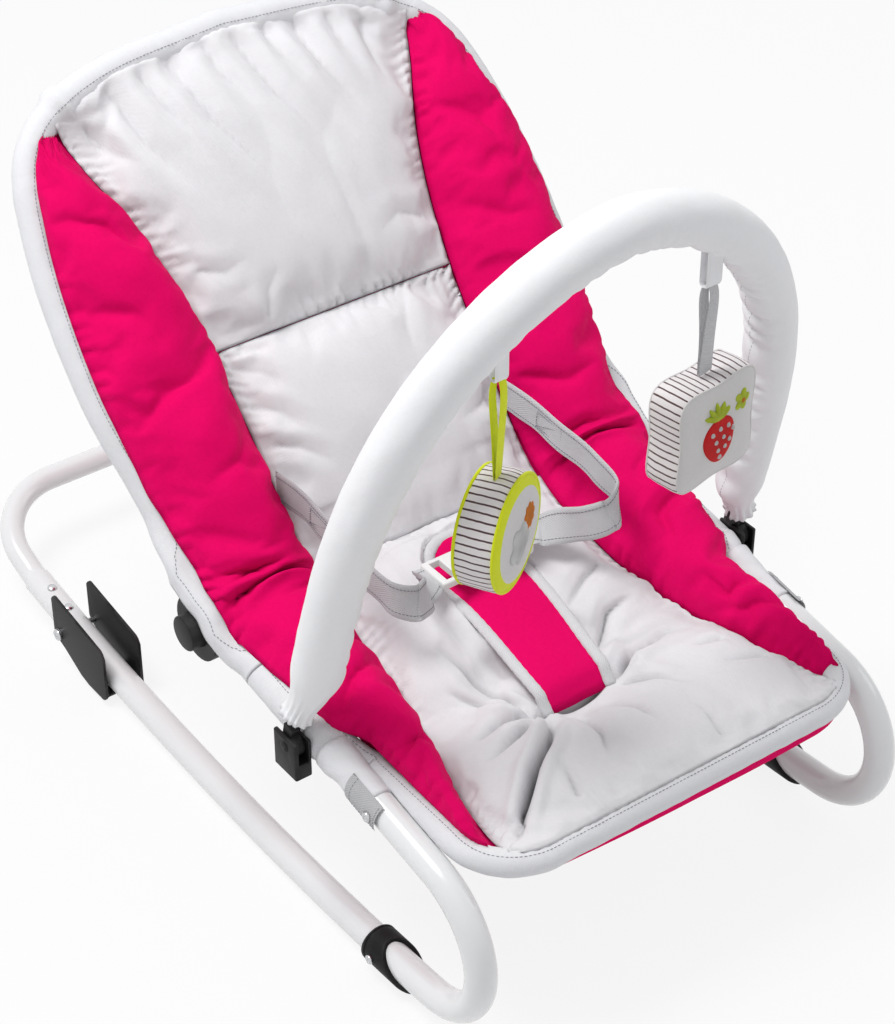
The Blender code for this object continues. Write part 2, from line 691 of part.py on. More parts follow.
for side_name, side in SIDES:
    outward = Vector((side, 0, 0))
    housing = add_piece("hinge_housing_" + side_name, rod_mesh(
        "hinge_housing_" + side_name, hinge + outward * HOUSING_INNER_X,
        hinge + outward * HOUSING_OUTER_X, HOUSING_RADIUS, 32,
    ), "black_plastic")
    boolean(housing, add_cutter("housing_lug_" + side_name, lug_mesh(
        "housing_lug_" + side_name, side, -arm_direction, HOUSING_RADIUS + NECK_LENGTH,
        HOUSING_INNER_X, HALF_TRACK + TUBE_RADIUS, TUBE_RADIUS * 0.8,
    )), "UNION")
    tube_start = hinge + outward * HALF_TRACK - arm_direction * (HOUSING_RADIUS + NECK_LENGTH)
    boolean(housing, add_cutter("housing_neck_" + side_name, rod_mesh(
        "housing_neck_" + side_name, tube_start, tube_start + arm_direction * (NECK_LENGTH - 0.0005),
        TUBE_RADIUS, 24,
    )), "UNION")
    boolean(housing, add_cutter("housing_bore_" + side_name, rod_mesh(
        "housing_bore_" + side_name, hinge + outward * (HOUSING_INNER_X - 0.005),
        hinge + outward * (HOUSING_OUTER_X + 0.005), PIN_RADIUS + GAP, 20,
    )))
    boolean(housing, add_cutter("button_recess_" + side_name, rod_mesh(
        "button_recess_" + side_name, hinge + outward * (HOUSING_OUTER_X - RECESS_DEPTH),
        hinge + outward * (HOUSING_OUTER_X + 0.005), BUTTON_RADIUS + 0.0005, 32,
    )))

    disc = add_piece("backrest_disc_" + side_name, rod_mesh(
        "backrest_disc_" + side_name, hinge + outward * INNER_DISC_INNER_X,
        hinge + outward * (HOUSING_INNER_X - GAP), INNER_DISC_RADIUS, 32,
    ), "black_plastic", backrest_axis)
    neck_reach = BACK_TUBE_START - GAP
    boolean(disc, add_cutter("disc_lug_" + side_name, lug_mesh(
        "disc_lug_" + side_name, side, back_up, neck_reach - 0.004,
        INNER_DISC_INNER_X + 0.001, HOUSING_INNER_X - GAP, BACK_TUBE_RADIUS * 0.8,
    )), "UNION")
    neck_end = hinge + outward * back_tube_x + back_up * neck_reach
    boolean(disc, add_cutter("disc_neck_" + side_name, rod_mesh(
        "disc_neck_" + side_name, neck_end - back_up * (neck_reach - HOUSING_RADIUS - 0.0005), neck_end,
        BACK_TUBE_RADIUS, 24,
    )), "UNION")
    boolean(disc, add_cutter("disc_bore_" + side_name, rod_mesh(
        "disc_bore_" + side_name, hinge + outward * (INNER_DISC_INNER_X - 0.005),
        hinge + outward * (HOUSING_INNER_X + 0.005), PIN_RADIUS + GAP, 20,
    )))

    pin_inner = hinge + outward * (INNER_DISC_INNER_X - GAP)
    pin = add_piece("hinge_pin_" + side_name, rod_mesh(
        "hinge_pin_" + side_name, pin_inner - outward * 0.001,
        hinge + outward * (HOUSING_OUTER_X - RECESS_DEPTH - GAP), PIN_RADIUS, 20,
    ), "chrome")
    boolean(pin, add_cutter("hinge_pin_head_" + side_name, rod_mesh(
        "hinge_pin_head_" + side_name, pin_inner, pin_inner - outward * PIN_HEAD_THICKNESS,
        PIN_HEAD_RADIUS, 20, PIN_HEAD_RADIUS * 0.75,
    )), "UNION")

    button_axis = add_empty("button_axis_" + side_name, hinge + outward * HOUSING_OUTER_X, origin)
    button_base = hinge + outward * (HOUSING_OUTER_X - RECESS_DEPTH + BUTTON_TRAVEL + GAP)
    button = add_piece("recline_button_" + side_name, rod_mesh(
        "recline_button_" + side_name, button_base, hinge + outward * (HOUSING_OUTER_X + BUTTON_PROUD),
        BUTTON_RADIUS, 32,
    ), "black_plastic", button_axis)
    rounding = button.modifiers.new("rounded_edges", "BEVEL")
    rounding.width = 0.0012
    rounding.segments = 2
    rounding.limit_method = "ANGLE"


# Backrest tube, a U in the plane of the backrest
def back_point(x, up, out=0.0):
    return hinge + Vector((x, 0, 0)) + back_up * up + back_out * out


def inset(path, distance):
    """A flat path moved in toward the middle, each point square to the path's direction there."""
    moved = []
    for before, place, after in zip([path[0]] + path, path, path[1:] + [path[-1]]):
        along_path = (after - before).normalized()
        moved.append(place + Vector((-along_path.y, along_path.x, 0)) * distance)
    return moved


back_half = smooth_path([(x, up, 0) for x, up in BACK_TUBE_HALF], 3)
back_half.insert(0, Vector((BACK_TUBE_HALF[0][0], BACK_TUBE_START, 0)))
back_flat = [Vector((-place.x, place.y, 0)) for place in back_half] + list(reversed(back_half))[1:]
add_piece("backrest_tube", tube_curve(
    "backrest_tube", [back_point(place.x, place.y) for place in back_flat], BACK_TUBE_RADIUS, 8,
), "white_tube", backrest_axis)

# Hem sleeves: sewn tubes of cloth round the side tubes, front rail and backrest tube
def sleeve(name, path, inner, body=origin):
    """An outer and an inner wall of cloth, joined by a ring at each end."""
    path = [Vector(place) for place in path]
    shape = bmesh.new()
    outer_faces = []
    for radius in (inner + HEM_CLOTH, inner):
        shape.from_mesh(tube_mesh(name + "_wall", path, radius, HEM_SIDES, turn=pi / HEM_SIDES))
        end_caps = [face for face in shape.faces if len(face.verts) == 3]
        bmesh.ops.delete(shape, geom=end_caps, context="FACES")
        outer_faces = outer_faces or list(shape.faces)
    inner_faces = [face for face in shape.faces if face not in outer_faces]
    bmesh.ops.reverse_faces(shape, faces=inner_faces)
    for end, outward in ((path[0], path[0] - path[1]), (path[-1], path[-1] - path[-2])):
        rims = [
            edge for edge in shape.edges
            if edge.is_boundary and (edge.verts[0].co - end).length < 2 * inner
        ]
        ring = bmesh.ops.bridge_loops(shape, edges=rims)["faces"]
        shape.normal_update()
        turned = [face for face in ring if face.normal.dot(outward) < 0]
        bmesh.ops.reverse_faces(shape, faces=turned)
    mesh = bpy.data.meshes.new(name)
    shape.to_mesh(mesh)
    shape.free()
    smooth_shading(mesh)
    return add_piece(name, mesh, "hem_cloth", body)


def round_clear(radius):
    """The bore radius at the corners of a faceted bore that clears a round tube."""
    return (radius + HEM_SLACK) / cos(pi / HEM_SIDES)


side_hems = {}
for side_name, side in SIDES:
    hem_ys = (SIDE_HEM_FRONT_Y, BAR_BASE_Y - HEM_RING, SIDE_HEM_REAR_Y)
    hem_path = [Vector((side * HALF_TRACK, y, arm_height(y))) for y in hem_ys]
    side_hems[side_name] = sleeve("side_hem_" + side_name, hem_path, round_clear(TUBE_RADIUS))
sleeve("front_hem", [place for place in rail_path if place.y < RAIL_FRONT_Y + RAIL_CORNER + 0.0001],
       round_clear(RAIL_RADIUS))
sleeve("backrest_hem", [
    back_point(place.x, place.y) for place in back_flat if place.y > BACK_HEM_START
], round_clear(BACK_TUBE_RADIUS), backrest_axis)

hem_reach_arm = round_clear(TUBE_RADIUS) + HEM_CLOTH + GAP
hem_reach_rail = round_clear(RAIL_RADIUS) + HEM_CLOTH + GAP
hem_reach_back = round_clear(BACK_TUBE_RADIUS) + HEM_CLOTH + GAP


# Seat pads. The sling surface hangs between arms and rail and sags in the middle
SEAT_REAR_Y = HINGE_Y - FOLD_CLEARANCE
seat_front_y = RAIL_FRONT_Y + hem_reach_rail
seat_half_front = rail_x - hem_reach_rail
seat_half_rear = HALF_TRACK - hem_reach_arm
rail_corner_y = RAIL_FRONT_Y + RAIL_CORNER
corner_inner = RAIL_CORNER - hem_reach_rail


def seat_half(y):
    """Half width of the seat between the hems."""
    if y > rail_corner_y:
        share = smooth_step(RAIL_END_Y + 0.002, RAIL_END_Y + 0.026, y)
        return seat_half_front + (seat_half_rear - seat_half_front) * share
    depth = min(rail_corner_y - y, corner_inner)
    return seat_half_front - corner_inner + sqrt(corner_inner ** 2 - depth ** 2)


def seat_front(x):
    """Where the seat meets the front hem."""
    beside = max(abs(x) - (seat_half_front - corner_inner), 0.0)
    return rail_corner_y - sqrt(max(corner_inner ** 2 - beside ** 2, 0.0))


def seat_line(y):
    """Height of the frame at y: the arms, easing into the front rail."""
    above_rail = arm_height(y) - rail_height
    return rail_height + (above_rail + hypot(above_rail, RAIL_EASE)) / 2


def seat_sling(x, y):
    depth = sin(pi * min(max((y - seat_front_y) / (SEAT_REAR_Y - seat_front_y), 0.0), 1.0))
    return seat_line(y) - SEAT_SAG * depth * (1 - min(abs(x) / seat_half_rear, 1.0) ** 2)


# Seams between the centre pads and the bolsters: place, and half width in shares of the half track
SEAT_SEAM_SHARES = [(0.020, 0.570), (-0.050, 0.585), (-0.120, 0.625), (-0.200, 0.720), (-0.272, 0.810)]
BACK_SEAM_SHARES = [
    (0.010, 0.565), (0.100, 0.570), (0.196, 0.585), (0.290, 0.650), (0.350, 0.755), (0.405, 0.880),
]
SEAT_SEAM = [(place, share * HALF_TRACK) for place, share in SEAT_SEAM_SHARES]
BACK_SEAM = [(place, share * HALF_TRACK) for place, share in BACK_SEAM_SHARES]


def along(table, value):
    """Read a short table of (place, half width) at a place, joined by straight lines."""
    rising = sorted(table)
    for (a, wide_a), (b, wide_b) in zip(rising, rising[1:]):
        if value <= b:
            break
    share = min(max((value - a) / (b - a), 0.0), 1.0)
    return wide_a + (wide_b - wide_a) * share


def crown(u, v, height, sharp=0.55):
    """Height of a crowned pad over its rim, with drawn-in sides."""
    fullness = max(sin(pi * u), 0.0) ** sharp * max(sin(pi * v), 0.0) ** sharp
    return PAD_RIM + (height - PAD_RIM) * fullness


def seat_pad_height(u, v):
    """The centre pad: a broad crown that is drawn down where the crotch strap is sewn through."""
    dimple = 0.012 * exp(-((u - 0.5) / 0.16) ** 2 - ((v - 0.60) / 0.09) ** 2)
    return crown(u, v, SEAT_CROWN, 0.4) - dimple


def seat_pad_surface(u, v, upper):
    y = SEAT_REAR_Y + (seat_front_y - SEAT_REAR_Y) * v
    for settle in range(5):
        x = (2 * u - 1) * (along(SEAT_SEAM, y) - SEAM_GAP)
        y = SEAT_REAR_Y + (seat_front(x) - SEAT_REAR_Y) * v
    return Vector((x, y, seat_sling(x, y) + (seat_pad_height(u, v) if upper else 0.0)))


add_piece("seat_pad", pad_mesh("seat_pad", seat_pad_surface, 12, 12), "grey_cloth")

for side_name, side in SIDES:
    def seat_bolster_surface(u, v, upper):
        y = SEAT_REAR_Y + (SEAT_SEAM[-1][0] - SEAT_REAR_Y) * v
        inner = along(SEAT_SEAM, y) + SEAM_GAP
        x = inner + (seat_half(y) - GAP - inner) * u
        height = crown(u, v, SEAT_BOLSTER_CROWN) if upper else 0.0
        return Vector((side * x, y, seat_sling(x, y) + height))
    add_piece("seat_bolster_" + side_name, pad_mesh(
        "seat_bolster_" + side_name, seat_bolster_surface, 6, 12), "pink_cloth")

# Backrest pads: two centre pads divided by the cross seam, and a bolster on each side
back_inner = inset(back_half, hem_reach_back)
back_edge = [(place.y, place.x) for place in back_inner]
back_top_edge = [(place.x, place.y) for place in back_inner if place.y > BACK_TOP_FROM]


def back_half_width(up):
    return along(back_edge, up)


def back_top(x):
    return along(back_top_edge, abs(x))


def back_lower_surface(u, v, upper):
    up = BACK_START + (CROSS_SEAM - SEAM_GAP - BACK_START) * v
    x = (2 * u - 1) * (along(BACK_SEAM, up) - SEAM_GAP)
    return back_point(x, up, crown(u, v, BACK_CROWN, 0.45) if upper else 0.0)


def back_upper_surface(u, v, upper):
    start = CROSS_SEAM + SEAM_GAP
    up = start + (back_top(0.0) - start) * v
    for settle in range(5):
        x = (2 * u - 1) * (along(BACK_SEAM, up) - SEAM_GAP)
        up = start + (back_top(x) - start) * v
    return back_point(x, up, crown(u, v, BACK_CROWN * 1.2, 0.4) if upper else 0.0)


lower_mesh = pad_mesh("back_pad_lower", back_lower_surface, 10, 8)
upper_mesh = pad_mesh("back_pad_upper", back_upper_surface, 12, 10)
add_piece("back_pad_lower", lower_mesh, "grey_cloth", backrest_axis)
add_piece("back_pad_upper", upper_mesh, "grey_cloth", backrest_axis)

for side_name, side in SIDES:
    def back_bolster_surface(u, v, upper):
        up = BOLSTER_START + (BOLSTER_TOP - BOLSTER_START) * v
        inner = along(BACK_SEAM, up) + SEAM_GAP
        outer = back_half_width(up) if up > BACK_HEM_START - 0.012 else seat_half_rear
        x = inner + (min(outer, back_half_width(up)) - 0.001 - inner) * u
        return back_point(side * x, up, crown(u, v, BACK_BOLSTER_CROWN) if upper else 0.0)
    add_piece("back_bolster_" + side_name, pad_mesh(
        "back_bolster_" + side_name, back_bolster_surface, 6, 14), "pink_cloth", backrest_axis)


# Underlays: the sling cloth below the pads
def seat_underlay_surface(u, v, upper):
    nominal = SEAT_REAR_Y + (seat_front_y - SEAT_REAR_Y) * v
    x = (2 * u - 1) * (seat_half(max(nominal, rail_corner_y)) - 0.0012)
    x = max(min(x, seat_half_front - 0.004), -seat_half_front + 0.004) if nominal < RAIL_END_Y else x
    y = SEAT_REAR_Y + (seat_front(x) + 0.0006 - SEAT_REAR_Y) * v
    drop = UNDERLAY_CLEARANCE + (0.0 if upper else UNDERLAY_THICKNESS)
    return Vector((x, y, seat_sling(x, y) - drop))


def back_underlay_surface(u, v, upper):
    nominal = BOLSTER_START + (back_top(0.0) - BOLSTER_START) * v
    half = back_half_width(min(max(nominal, BACK_HEM_START - 0.01), UNDERLAY_TOP_CORNER))
    if nominal < BACK_HEM_START + 0.02:
        half = min(half, INNER_DISC_INNER_X)
    x = (2 * u - 1) * (half - 0.0035)
    up = BOLSTER_START + (back_top(x) - 0.002 - BOLSTER_START) * v
    drop = 2 * GAP + (0.0 if upper else UNDERLAY_THICKNESS)
    return back_point(x, up, -drop)


add_piece("seat_underlay", pad_mesh("seat_underlay", seat_underlay_surface, 12, 16), "pink_cloth")
back_sling_mesh = pad_mesh("back_underlay", back_underlay_surface, 8, 12)
add_piece("back_underlay", back_sling_mesh, "pink_cloth", backrest_axis)


# Harness: a crotch pad on the seat, a hip strap from each side and a buckle between them
def seat_top(x, y):
    """Height of the centre pad's upper face at a place on the seat."""
    u = 0.5 + 0.5 * x / (along(SEAT_SEAM, y) - SEAM_GAP)
    v = (SEAT_REAR_Y - y) / (SEAT_REAR_Y - seat_front(x))
    return seat_sling(x, y) + seat_pad_height(min(max(u, 0.0), 1.0), min(max(v, 0.0), 1.0))


def crotch_half(y):
    """Half width of the crotch pad: straight sides, and a round end at the rear."""
    round_start = CROTCH_REAR_Y - CROTCH_HALF_MID
    share = (y - CROTCH_FRONT_Y) / (round_start - CROTCH_FRONT_Y)
    if share < 1:
        return CROTCH_HALF_FRONT + (CROTCH_HALF_MID - CROTCH_HALF_FRONT) * share
    return sqrt(max(CROTCH_HALF_MID ** 2 - (y - round_start) ** 2, 0.006 ** 2))


def crotch_surface(u, v, upper):
    y = CROTCH_FRONT_Y + (CROTCH_REAR_Y - CROTCH_FRONT_Y) * v
    x = (2 * u - 1) * crotch_half(y)
    base = max(seat_top(x, y) + 0.0006, seat_top(0, -0.07) - 0.002 + 0.04 * max(y + 0.02, 0.0))
    swell = 0.35 + 0.65 * sqrt(max(sin(pi * u), 0.0) * max(sin(pi * v), 0.0))
    return Vector((x, y, base + (CROTCH_THICKNESS * swell if upper else 0.0)))


add_piece("crotch_pad", pad_mesh("crotch_pad", crotch_surface, 6, 12), "pink_cloth")

# The buckle lies across the crotch pad; all its heights are measured from its middle plane
pad_under_buckle = max(crotch_surface(0.5, v / 100, True).z for v in range(62, 82))
buckle_middle = pad_under_buckle + BUCKLE_REST_GAP + HOUSING_HALF_THICKNESS


def buckle_block(name, x_low, x_high, half_depth, half_thickness, edge=0.0):
    return block_mesh(
        name, (x_low, BUCKLE_Y - half_depth, buckle_middle - half_thickness),
        (x_high, BUCKLE_Y + half_depth, buckle_middle + half_thickness), edge,
    )


tongue = add_piece("buckle_tongue", buckle_block(
    "buckle_tongue", -TONGUE_REACH, BUCKLE_SPLIT_X - GAP, TONGUE_HALF_DEPTH, TONGUE_HALF_THICKNESS, 0.0015,
), "white_plastic")
boolean(tongue, add_cutter("tongue_blade", buckle_block(
    "tongue_blade", BUCKLE_SPLIT_X - 0.004, BLADE_TIP_X, BLADE_HALF_DEPTH, BLADE_HALF_THICKNESS,
)), "UNION")
boolean(tongue, add_cutter("tongue_slot", buckle_block(
    "tongue_slot", -TONGUE_REACH + 0.006, -TONGUE_REACH + 0.016, STRAP_WIDTH * 0.41, 0.02,
)))
housing = add_piece("buckle_housing", buckle_block(
    "buckle_housing", BUCKLE_SPLIT_X + GAP, HOUSING_REACH, HOUSING_HALF_DEPTH, HOUSING_HALF_THICKNESS, 0.0022,
), "white_plastic")
boolean(housing, add_cutter("housing_cavity", buckle_block(
    "housing_cavity", BUCKLE_SPLIT_X - 0.01, BLADE_TIP_X + GAP,
    BLADE_HALF_DEPTH + 0.0005, BLADE_HALF_THICKNESS + 0.0005,
)))
boolean(housing, add_cutter("housing_windows", buckle_block(
    "housing_windows", PRONG_X[0] - GAP, PRONG_X[1] + GAP, 0.03, PRONG_HALF_THICKNESS + GAP,
)))
for place_name, facing in (("front", -1), ("rear", 1)):
    near_y = BUCKLE_Y + facing * (BLADE_HALF_DEPTH + PRONG_TRAVEL + 2 * GAP)
    far_y = BUCKLE_Y + facing * (HOUSING_HALF_DEPTH + PRONG_PROUD)
    prong_axis = add_empty("prong_axis_" + place_name, (sum(PRONG_X) / 2, near_y, buckle_middle), origin)
    add_piece("buckle_prong_" + place_name, block_mesh(
        "buckle_prong_" + place_name, (PRONG_X[0], min(near_y, far_y), buckle_middle - PRONG_HALF_THICKNESS),
        (PRONG_X[1], max(near_y, far_y), buckle_middle + PRONG_HALF_THICKNESS), 0.0008,
    ), "white_plastic", prong_axis)

# Hip straps: out of the seam beside the centre pad, forward, and back down to the buckle
strap_root = back_point(
    along(BACK_SEAM, STRAP_ROOT_UP) - STRAP_ROOT_INSET, STRAP_ROOT_UP, PAD_RIM + STRAP_THICKNESS)
for side_name, side in SIDES:
    plug_x = (TONGUE_REACH if side < 0 else HOUSING_REACH) + GAP
    route = [
        (strap_root, back_up),
        ((strap_root.x - 0.0005, 0.045, strap_root.z + 0.0024), (0.0, 0.35, 0.94)),
        ((strap_root.x + 0.0005, 0.000, strap_root.z - 0.0016), (0.0, 0.10, 1.00)),
        ((strap_root.x + 0.0025, -0.045, strap_root.z - 0.0076), (0.0, 0.10, 1.00)),
        ((strap_root.x - 0.0005, -0.078, strap_root.z - 0.0136), (0.0, 0.10, 1.00)),
        ((strap_root.x - 0.0155, -0.092, buckle_middle + 0.0249), (-0.1, 0.30, 0.95)),
        ((strap_root.x - 0.0335, -0.083, buckle_middle + 0.0179), (-0.2, 0.60, 0.77)),
        ((plug_x + 0.0200, -0.064, buckle_middle + 0.0089), (-0.1, 0.90, 0.40)),
        ((plug_x + 0.006, BUCKLE_Y, buckle_middle), (0.0, 1.0, 0.0)),
        ((plug_x, BUCKLE_Y, buckle_middle), (0.0, 1.0, 0.0)),
    ]
    places = [Vector((side * place[0], place[1], place[2])) for place, across in route]
    acrosses = [Vector((side * across[0], across[1], across[2])) for place, across in route]
    add_piece("hip_strap_" + side_name, ribbon_mesh(
        "hip_strap_" + side_name, places, acrosses, STRAP_WIDTH, STRAP_THICKNESS), "strap_cloth")

# Toy bar: a bowed rod in a padded sleeve, carried by a clip on each arm
bar_pivot = Vector((0, BAR_BASE_Y, arm_height(BAR_BASE_Y) + CLIP_PIVOT_ABOVE_ARM))
bar_axis = add_empty("toy_bar_axis", bar_pivot, origin)
bar_rise = Vector((0, -sin(radians(BAR_LEAN)), cos(radians(BAR_LEAN))))
bar_foot = bar_pivot + Vector((0, 0, BAR_FOOT_ABOVE_PIVOT))


def bar_place(side, sweep):
    """A place on one half of the arch: a rounded outline that flares out at its foot."""
    up = BAR_HEIGHT * sin(sweep)
    shoulder = (1 - sin(sweep) ** BAR_SHOULDER_POWER) ** (1 / BAR_SIDE_POWER)
    x = BAR_HALF_WIDTH * shoulder + BAR_FLARE * exp(-(up / 0.035) ** 2)
    return bar_foot + Vector((side * x, 0, 0)) + bar_rise * up


stem_foot = bar_foot - bar_rise * (BAR_FOOT_ABOVE_PIVOT / bar_rise.z)
rod_start_sweep = asin((STEM_LENGTH - (bar_foot - stem_foot).length + GAP) / BAR_HEIGHT)
sweeps = [rod_start_sweep + (pi / 2 - rod_start_sweep) * n / 120 for n in range(121)]
arch = [bar_place(-1, sweep) for sweep in sweeps]
arch += [bar_place(1, sweep) for sweep in reversed(sweeps[:-1])]
rod_path = even_path(arch, 33)
rod_path[0] = rod_path[1] - bar_rise * (rod_path[1] - rod_path[0]).dot(bar_rise)
rod_path[-1] = rod_path[-2] - bar_rise * (rod_path[-2] - rod_path[-1]).dot(bar_rise)
add_piece("toy_bar_rod", tube_curve("toy_bar_rod", rod_path, BAR_ROD_RADIUS, 8), "black_plastic", bar_axis)

pad_points = [place for place in arch if place.z > arch[0].z + BAR_PAD_START]
pad_path = even_path(pad_points, 31)
pad_step = sum((b - a).length for a, b in zip(pad_path, pad_path[1:])) / 30
pad_radii = [
    (BAR_PAD_END_RADIUS + (BAR_PAD_RADIUS - BAR_PAD_END_RADIUS)
     * smooth_step(0.0, 0.06, min(n, 30 - n) * pad_step)) / BAR_PAD_RADIUS
    for n in range(31)
]
bar_pad = add_piece("toy_bar_pad", tube_mesh(
    "toy_bar_pad", pad_path, BAR_PAD_RADIUS, 12, pad_radii), "white_cloth", bar_axis)
boolean(bar_pad, add_cutter("toy_bar_pad_bore", tube_mesh(
    "toy_bar_pad_bore", rod_path, BAR_ROD_RADIUS + BAR_PAD_SLACK, 8)))

for side_name, side in SIDES:
    low_x, high_x = sorted((side * CLIP_INNER_X, side * CLIP_OUTER_X))
    clip = add_piece("toy_bar_clip_" + side_name, block_mesh(
        "toy_bar_clip_" + side_name,
        (low_x, BAR_BASE_Y - CLIP_HALF_DEPTH, bar_pivot.z - CLIP_BELOW_PIVOT),
        (high_x, BAR_BASE_Y + CLIP_HALF_DEPTH, bar_pivot.z + CLIP_ABOVE_PIVOT), 0.0015,
    ), "black_plastic")
    slot_low, slot_high = sorted((side * CLIP_SLOT[0], side * CLIP_SLOT[1]))
    boolean(clip, add_cutter("clip_slot_" + side_name, block_mesh(
        "clip_slot_" + side_name,
        (slot_low, BAR_BASE_Y - 2 * CLIP_HALF_DEPTH, bar_pivot.z - KNUCKLE_RADIUS - 0.0006),
        (slot_high, BAR_BASE_Y + 2 * CLIP_HALF_DEPTH, bar_pivot.z + 2 * CLIP_ABOVE_PIVOT),
    )))
    outward = Vector((side, 0, 0))
    hole_centre = Vector((0, BAR_BASE_Y, arm_height(BAR_BASE_Y)))
    boolean(clip, add_cutter("clip_boss_" + side_name, rod_mesh(
        "clip_boss_" + side_name, hole_centre + outward * (HALF_TRACK + TUBE_RADIUS + GAP),
        hole_centre + outward * (CLIP_SLOT[0] - 0.001), CLIP_BOSS_RADIUS, 16,
    )), "UNION")
    boolean(side_hems[side_name], add_cutter("hem_hole_" + side_name, rod_mesh(
        "hem_hole_" + side_name, hole_centre + outward * HALF_TRACK,
        hole_centre + outward * (HALF_TRACK + 0.04),
        CLIP_BOSS_RADIUS + 0.0006, 16,
    )))
    boolean(clip, add_cutter("clip_bore_" + side_name, rod_mesh(
        "clip_bore_" + side_name, bar_pivot + outward * (CLIP_SLOT[0] - 0.0018),
        bar_pivot + outward * (CLIP_OUTER_X + 0.01), CLIP_PIN_RADIUS + GAP, 16,
    )))
    slot_middle = (CLIP_SLOT[0] + CLIP_SLOT[1]) / 2
    half_knuckle = (CLIP_SLOT[1] - CLIP_SLOT[0]) / 2 - GAP
    knuckle = add_piece("toy_bar_knuckle_" + side_name, rod_mesh(
        "toy_bar_knuckle_" + side_name, bar_pivot + outward * (slot_middle - half_knuckle),
        bar_pivot + outward * (slot_middle + half_knuckle), KNUCKLE_RADIUS, 24,
    ), "black_plastic", bar_axis)
    stem_x = sorted((side * (slot_middle - half_knuckle), side * (slot_middle + half_knuckle)))
    stem_mesh = block_mesh("knuckle_stem_" + side_name, (stem_x[0], -BAR_ROD_RADIUS, 0),
                           (stem_x[1], BAR_ROD_RADIUS, STEM_LENGTH))
    stem_mesh.transform(Matrix.Translation(stem_foot) @ Matrix.Rotation(radians(BAR_LEAN), 4, "X"))
    boolean(knuckle, add_cutter("knuckle_stem_" + side_name, stem_mesh), "UNION")
    boolean(knuckle, add_cutter("knuckle_bore_" + side_name, rod_mesh(
        "knuckle_bore_" + side_name, bar_pivot + outward * HALF_TRACK,
        bar_pivot + outward * (CLIP_OUTER_X + 0.01), CLIP_PIN_RADIUS + GAP, 16,
    )))
    pin = add_piece("toy_bar_pin_" + side_name, rod_mesh(
        "toy_bar_pin_" + side_name, bar_pivot + outward * (CLIP_SLOT[0] - 0.0012),
        bar_pivot + outward * (CLIP_OUTER_X + 0.001), CLIP_PIN_RADIUS, 16,
    ), "chrome")
    boolean(pin, add_cutter("toy_bar_pin_head_" + side_name, rod_mesh(
        "toy_bar_pin_head_" + side_name, bar_pivot + outward * (CLIP_OUTER_X + GAP),
        bar_pivot + outward * (CLIP_OUTER_X + 0.0018), CLIP_PIN_HEAD_RADIUS, 16, CLIP_PIN_RADIUS,
    )), "UNION")


# Hanging toys: a tab sewn to the sleeve, a tape through it and a stuffed body
def arch_at(x):
    return min(arch, key=lambda place: abs(place.x - x))


def toy_mesh(name, centre, turn, corner_power):
    """A stuffed disc or square that faces along the turned -Y direction."""
    facing = Vector((sin(radians(turn)), -cos(radians(turn)), 0))
    beside = Vector((cos(radians(turn)), sin(radians(turn)), 0))

    def build(shape):
        bmesh.ops.create_uvsphere(shape, u_segments=20, v_segments=10, radius=1.0)
        for vert in shape.verts:
            around = atan2(vert.co.y, vert.co.x)
            flat = min(hypot(vert.co.x, vert.co.y), 1.0)
            c, s = abs(cos(around)), abs(sin(around))
            reach = TOY_HALF / (c ** corner_power + s ** corner_power) ** (1 / corner_power)
            spread = reach * flat ** 0.6
            deep = TOY_HALF_THICKNESS * abs(vert.co.z) ** 0.7 * (1 if vert.co.z > 0 else -1)
            vert.co = (centre + beside * spread * cos(around) + Vector((0, 0, spread * sin(around)))
                       + facing * deep)
    mesh = mesh_from(name, build)
    smooth_shading(mesh, 60.0)
    return mesh, beside


TOYS = (
    ("round", ROUND_TOY_X, ROUND_TOY_TAB, ROUND_TOY_HANG, ROUND_TOY_TURN, 2.0, "lime_cloth", 0.012),
    ("square", SQUARE_TOY_X, SQUARE_TOY_TAB, SQUARE_TOY_HANG, SQUARE_TOY_TURN, 5.0, "strap_cloth", 0.015),
)
for toy_name, toy_x, tab_reach, hang, turn, power, tape_finish, tape_width in TOYS:
    above = arch_at(toy_x)
    pivot_z = above.z - tab_reach
    centre_z = pivot_z - hang
    slope_near, slope_far = arch_at(toy_x - 0.01), arch_at(toy_x + 0.01)
    slope = atan2(slope_far.z - slope_near.z, slope_far.x - slope_near.x)
    toy_y = above.y
    tab_top = above.z - BAR_PAD_RADIUS * 0.7 / cos(slope)
    tab_path = [(toy_x, toy_y, tab_top), (toy_x, toy_y, pivot_z + SWING_GAP)]
    boolean(bar_pad, add_cutter("toy_tab_" + toy_name, ribbon_mesh(
        "toy_tab_" + toy_name, tab_path, [(1, 0, 0)] * 2, tape_width, TAPE_THICKNESS,
    )), "UNION")
    toy_axis = add_empty(f"{toy_name}_toy_axis", (toy_x, toy_y, pivot_z), origin)
    body_mesh, beside = toy_mesh(toy_name + "_toy", Vector((toy_x, toy_y, centre_z)), turn, power)
    add_piece(toy_name + "_toy", body_mesh, "stripe_cloth", toy_axis)
    tape_path = [(toy_x, toy_y, pivot_z - SWING_GAP), (toy_x, toy_y, (pivot_z + centre_z + TOY_HALF) / 2),
                 (toy_x, toy_y, centre_z + TOY_HALF + GAP)]
    acrosses = [(1, 0, 0), Vector((1, 0, 0)).lerp(beside, 0.5), beside]
    add_piece(f"{toy_name}_toy_tape", ribbon_mesh(
        f"{toy_name}_toy_tape", tape_path, acrosses, tape_width, TAPE_THICKNESS), tape_finish, toy_axis)
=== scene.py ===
import bpy
import bmesh
import numpy as np
from math import asin, atan2, cos, degrees, exp, hypot, pi, radians, sin, sqrt, tan
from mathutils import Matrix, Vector, noise


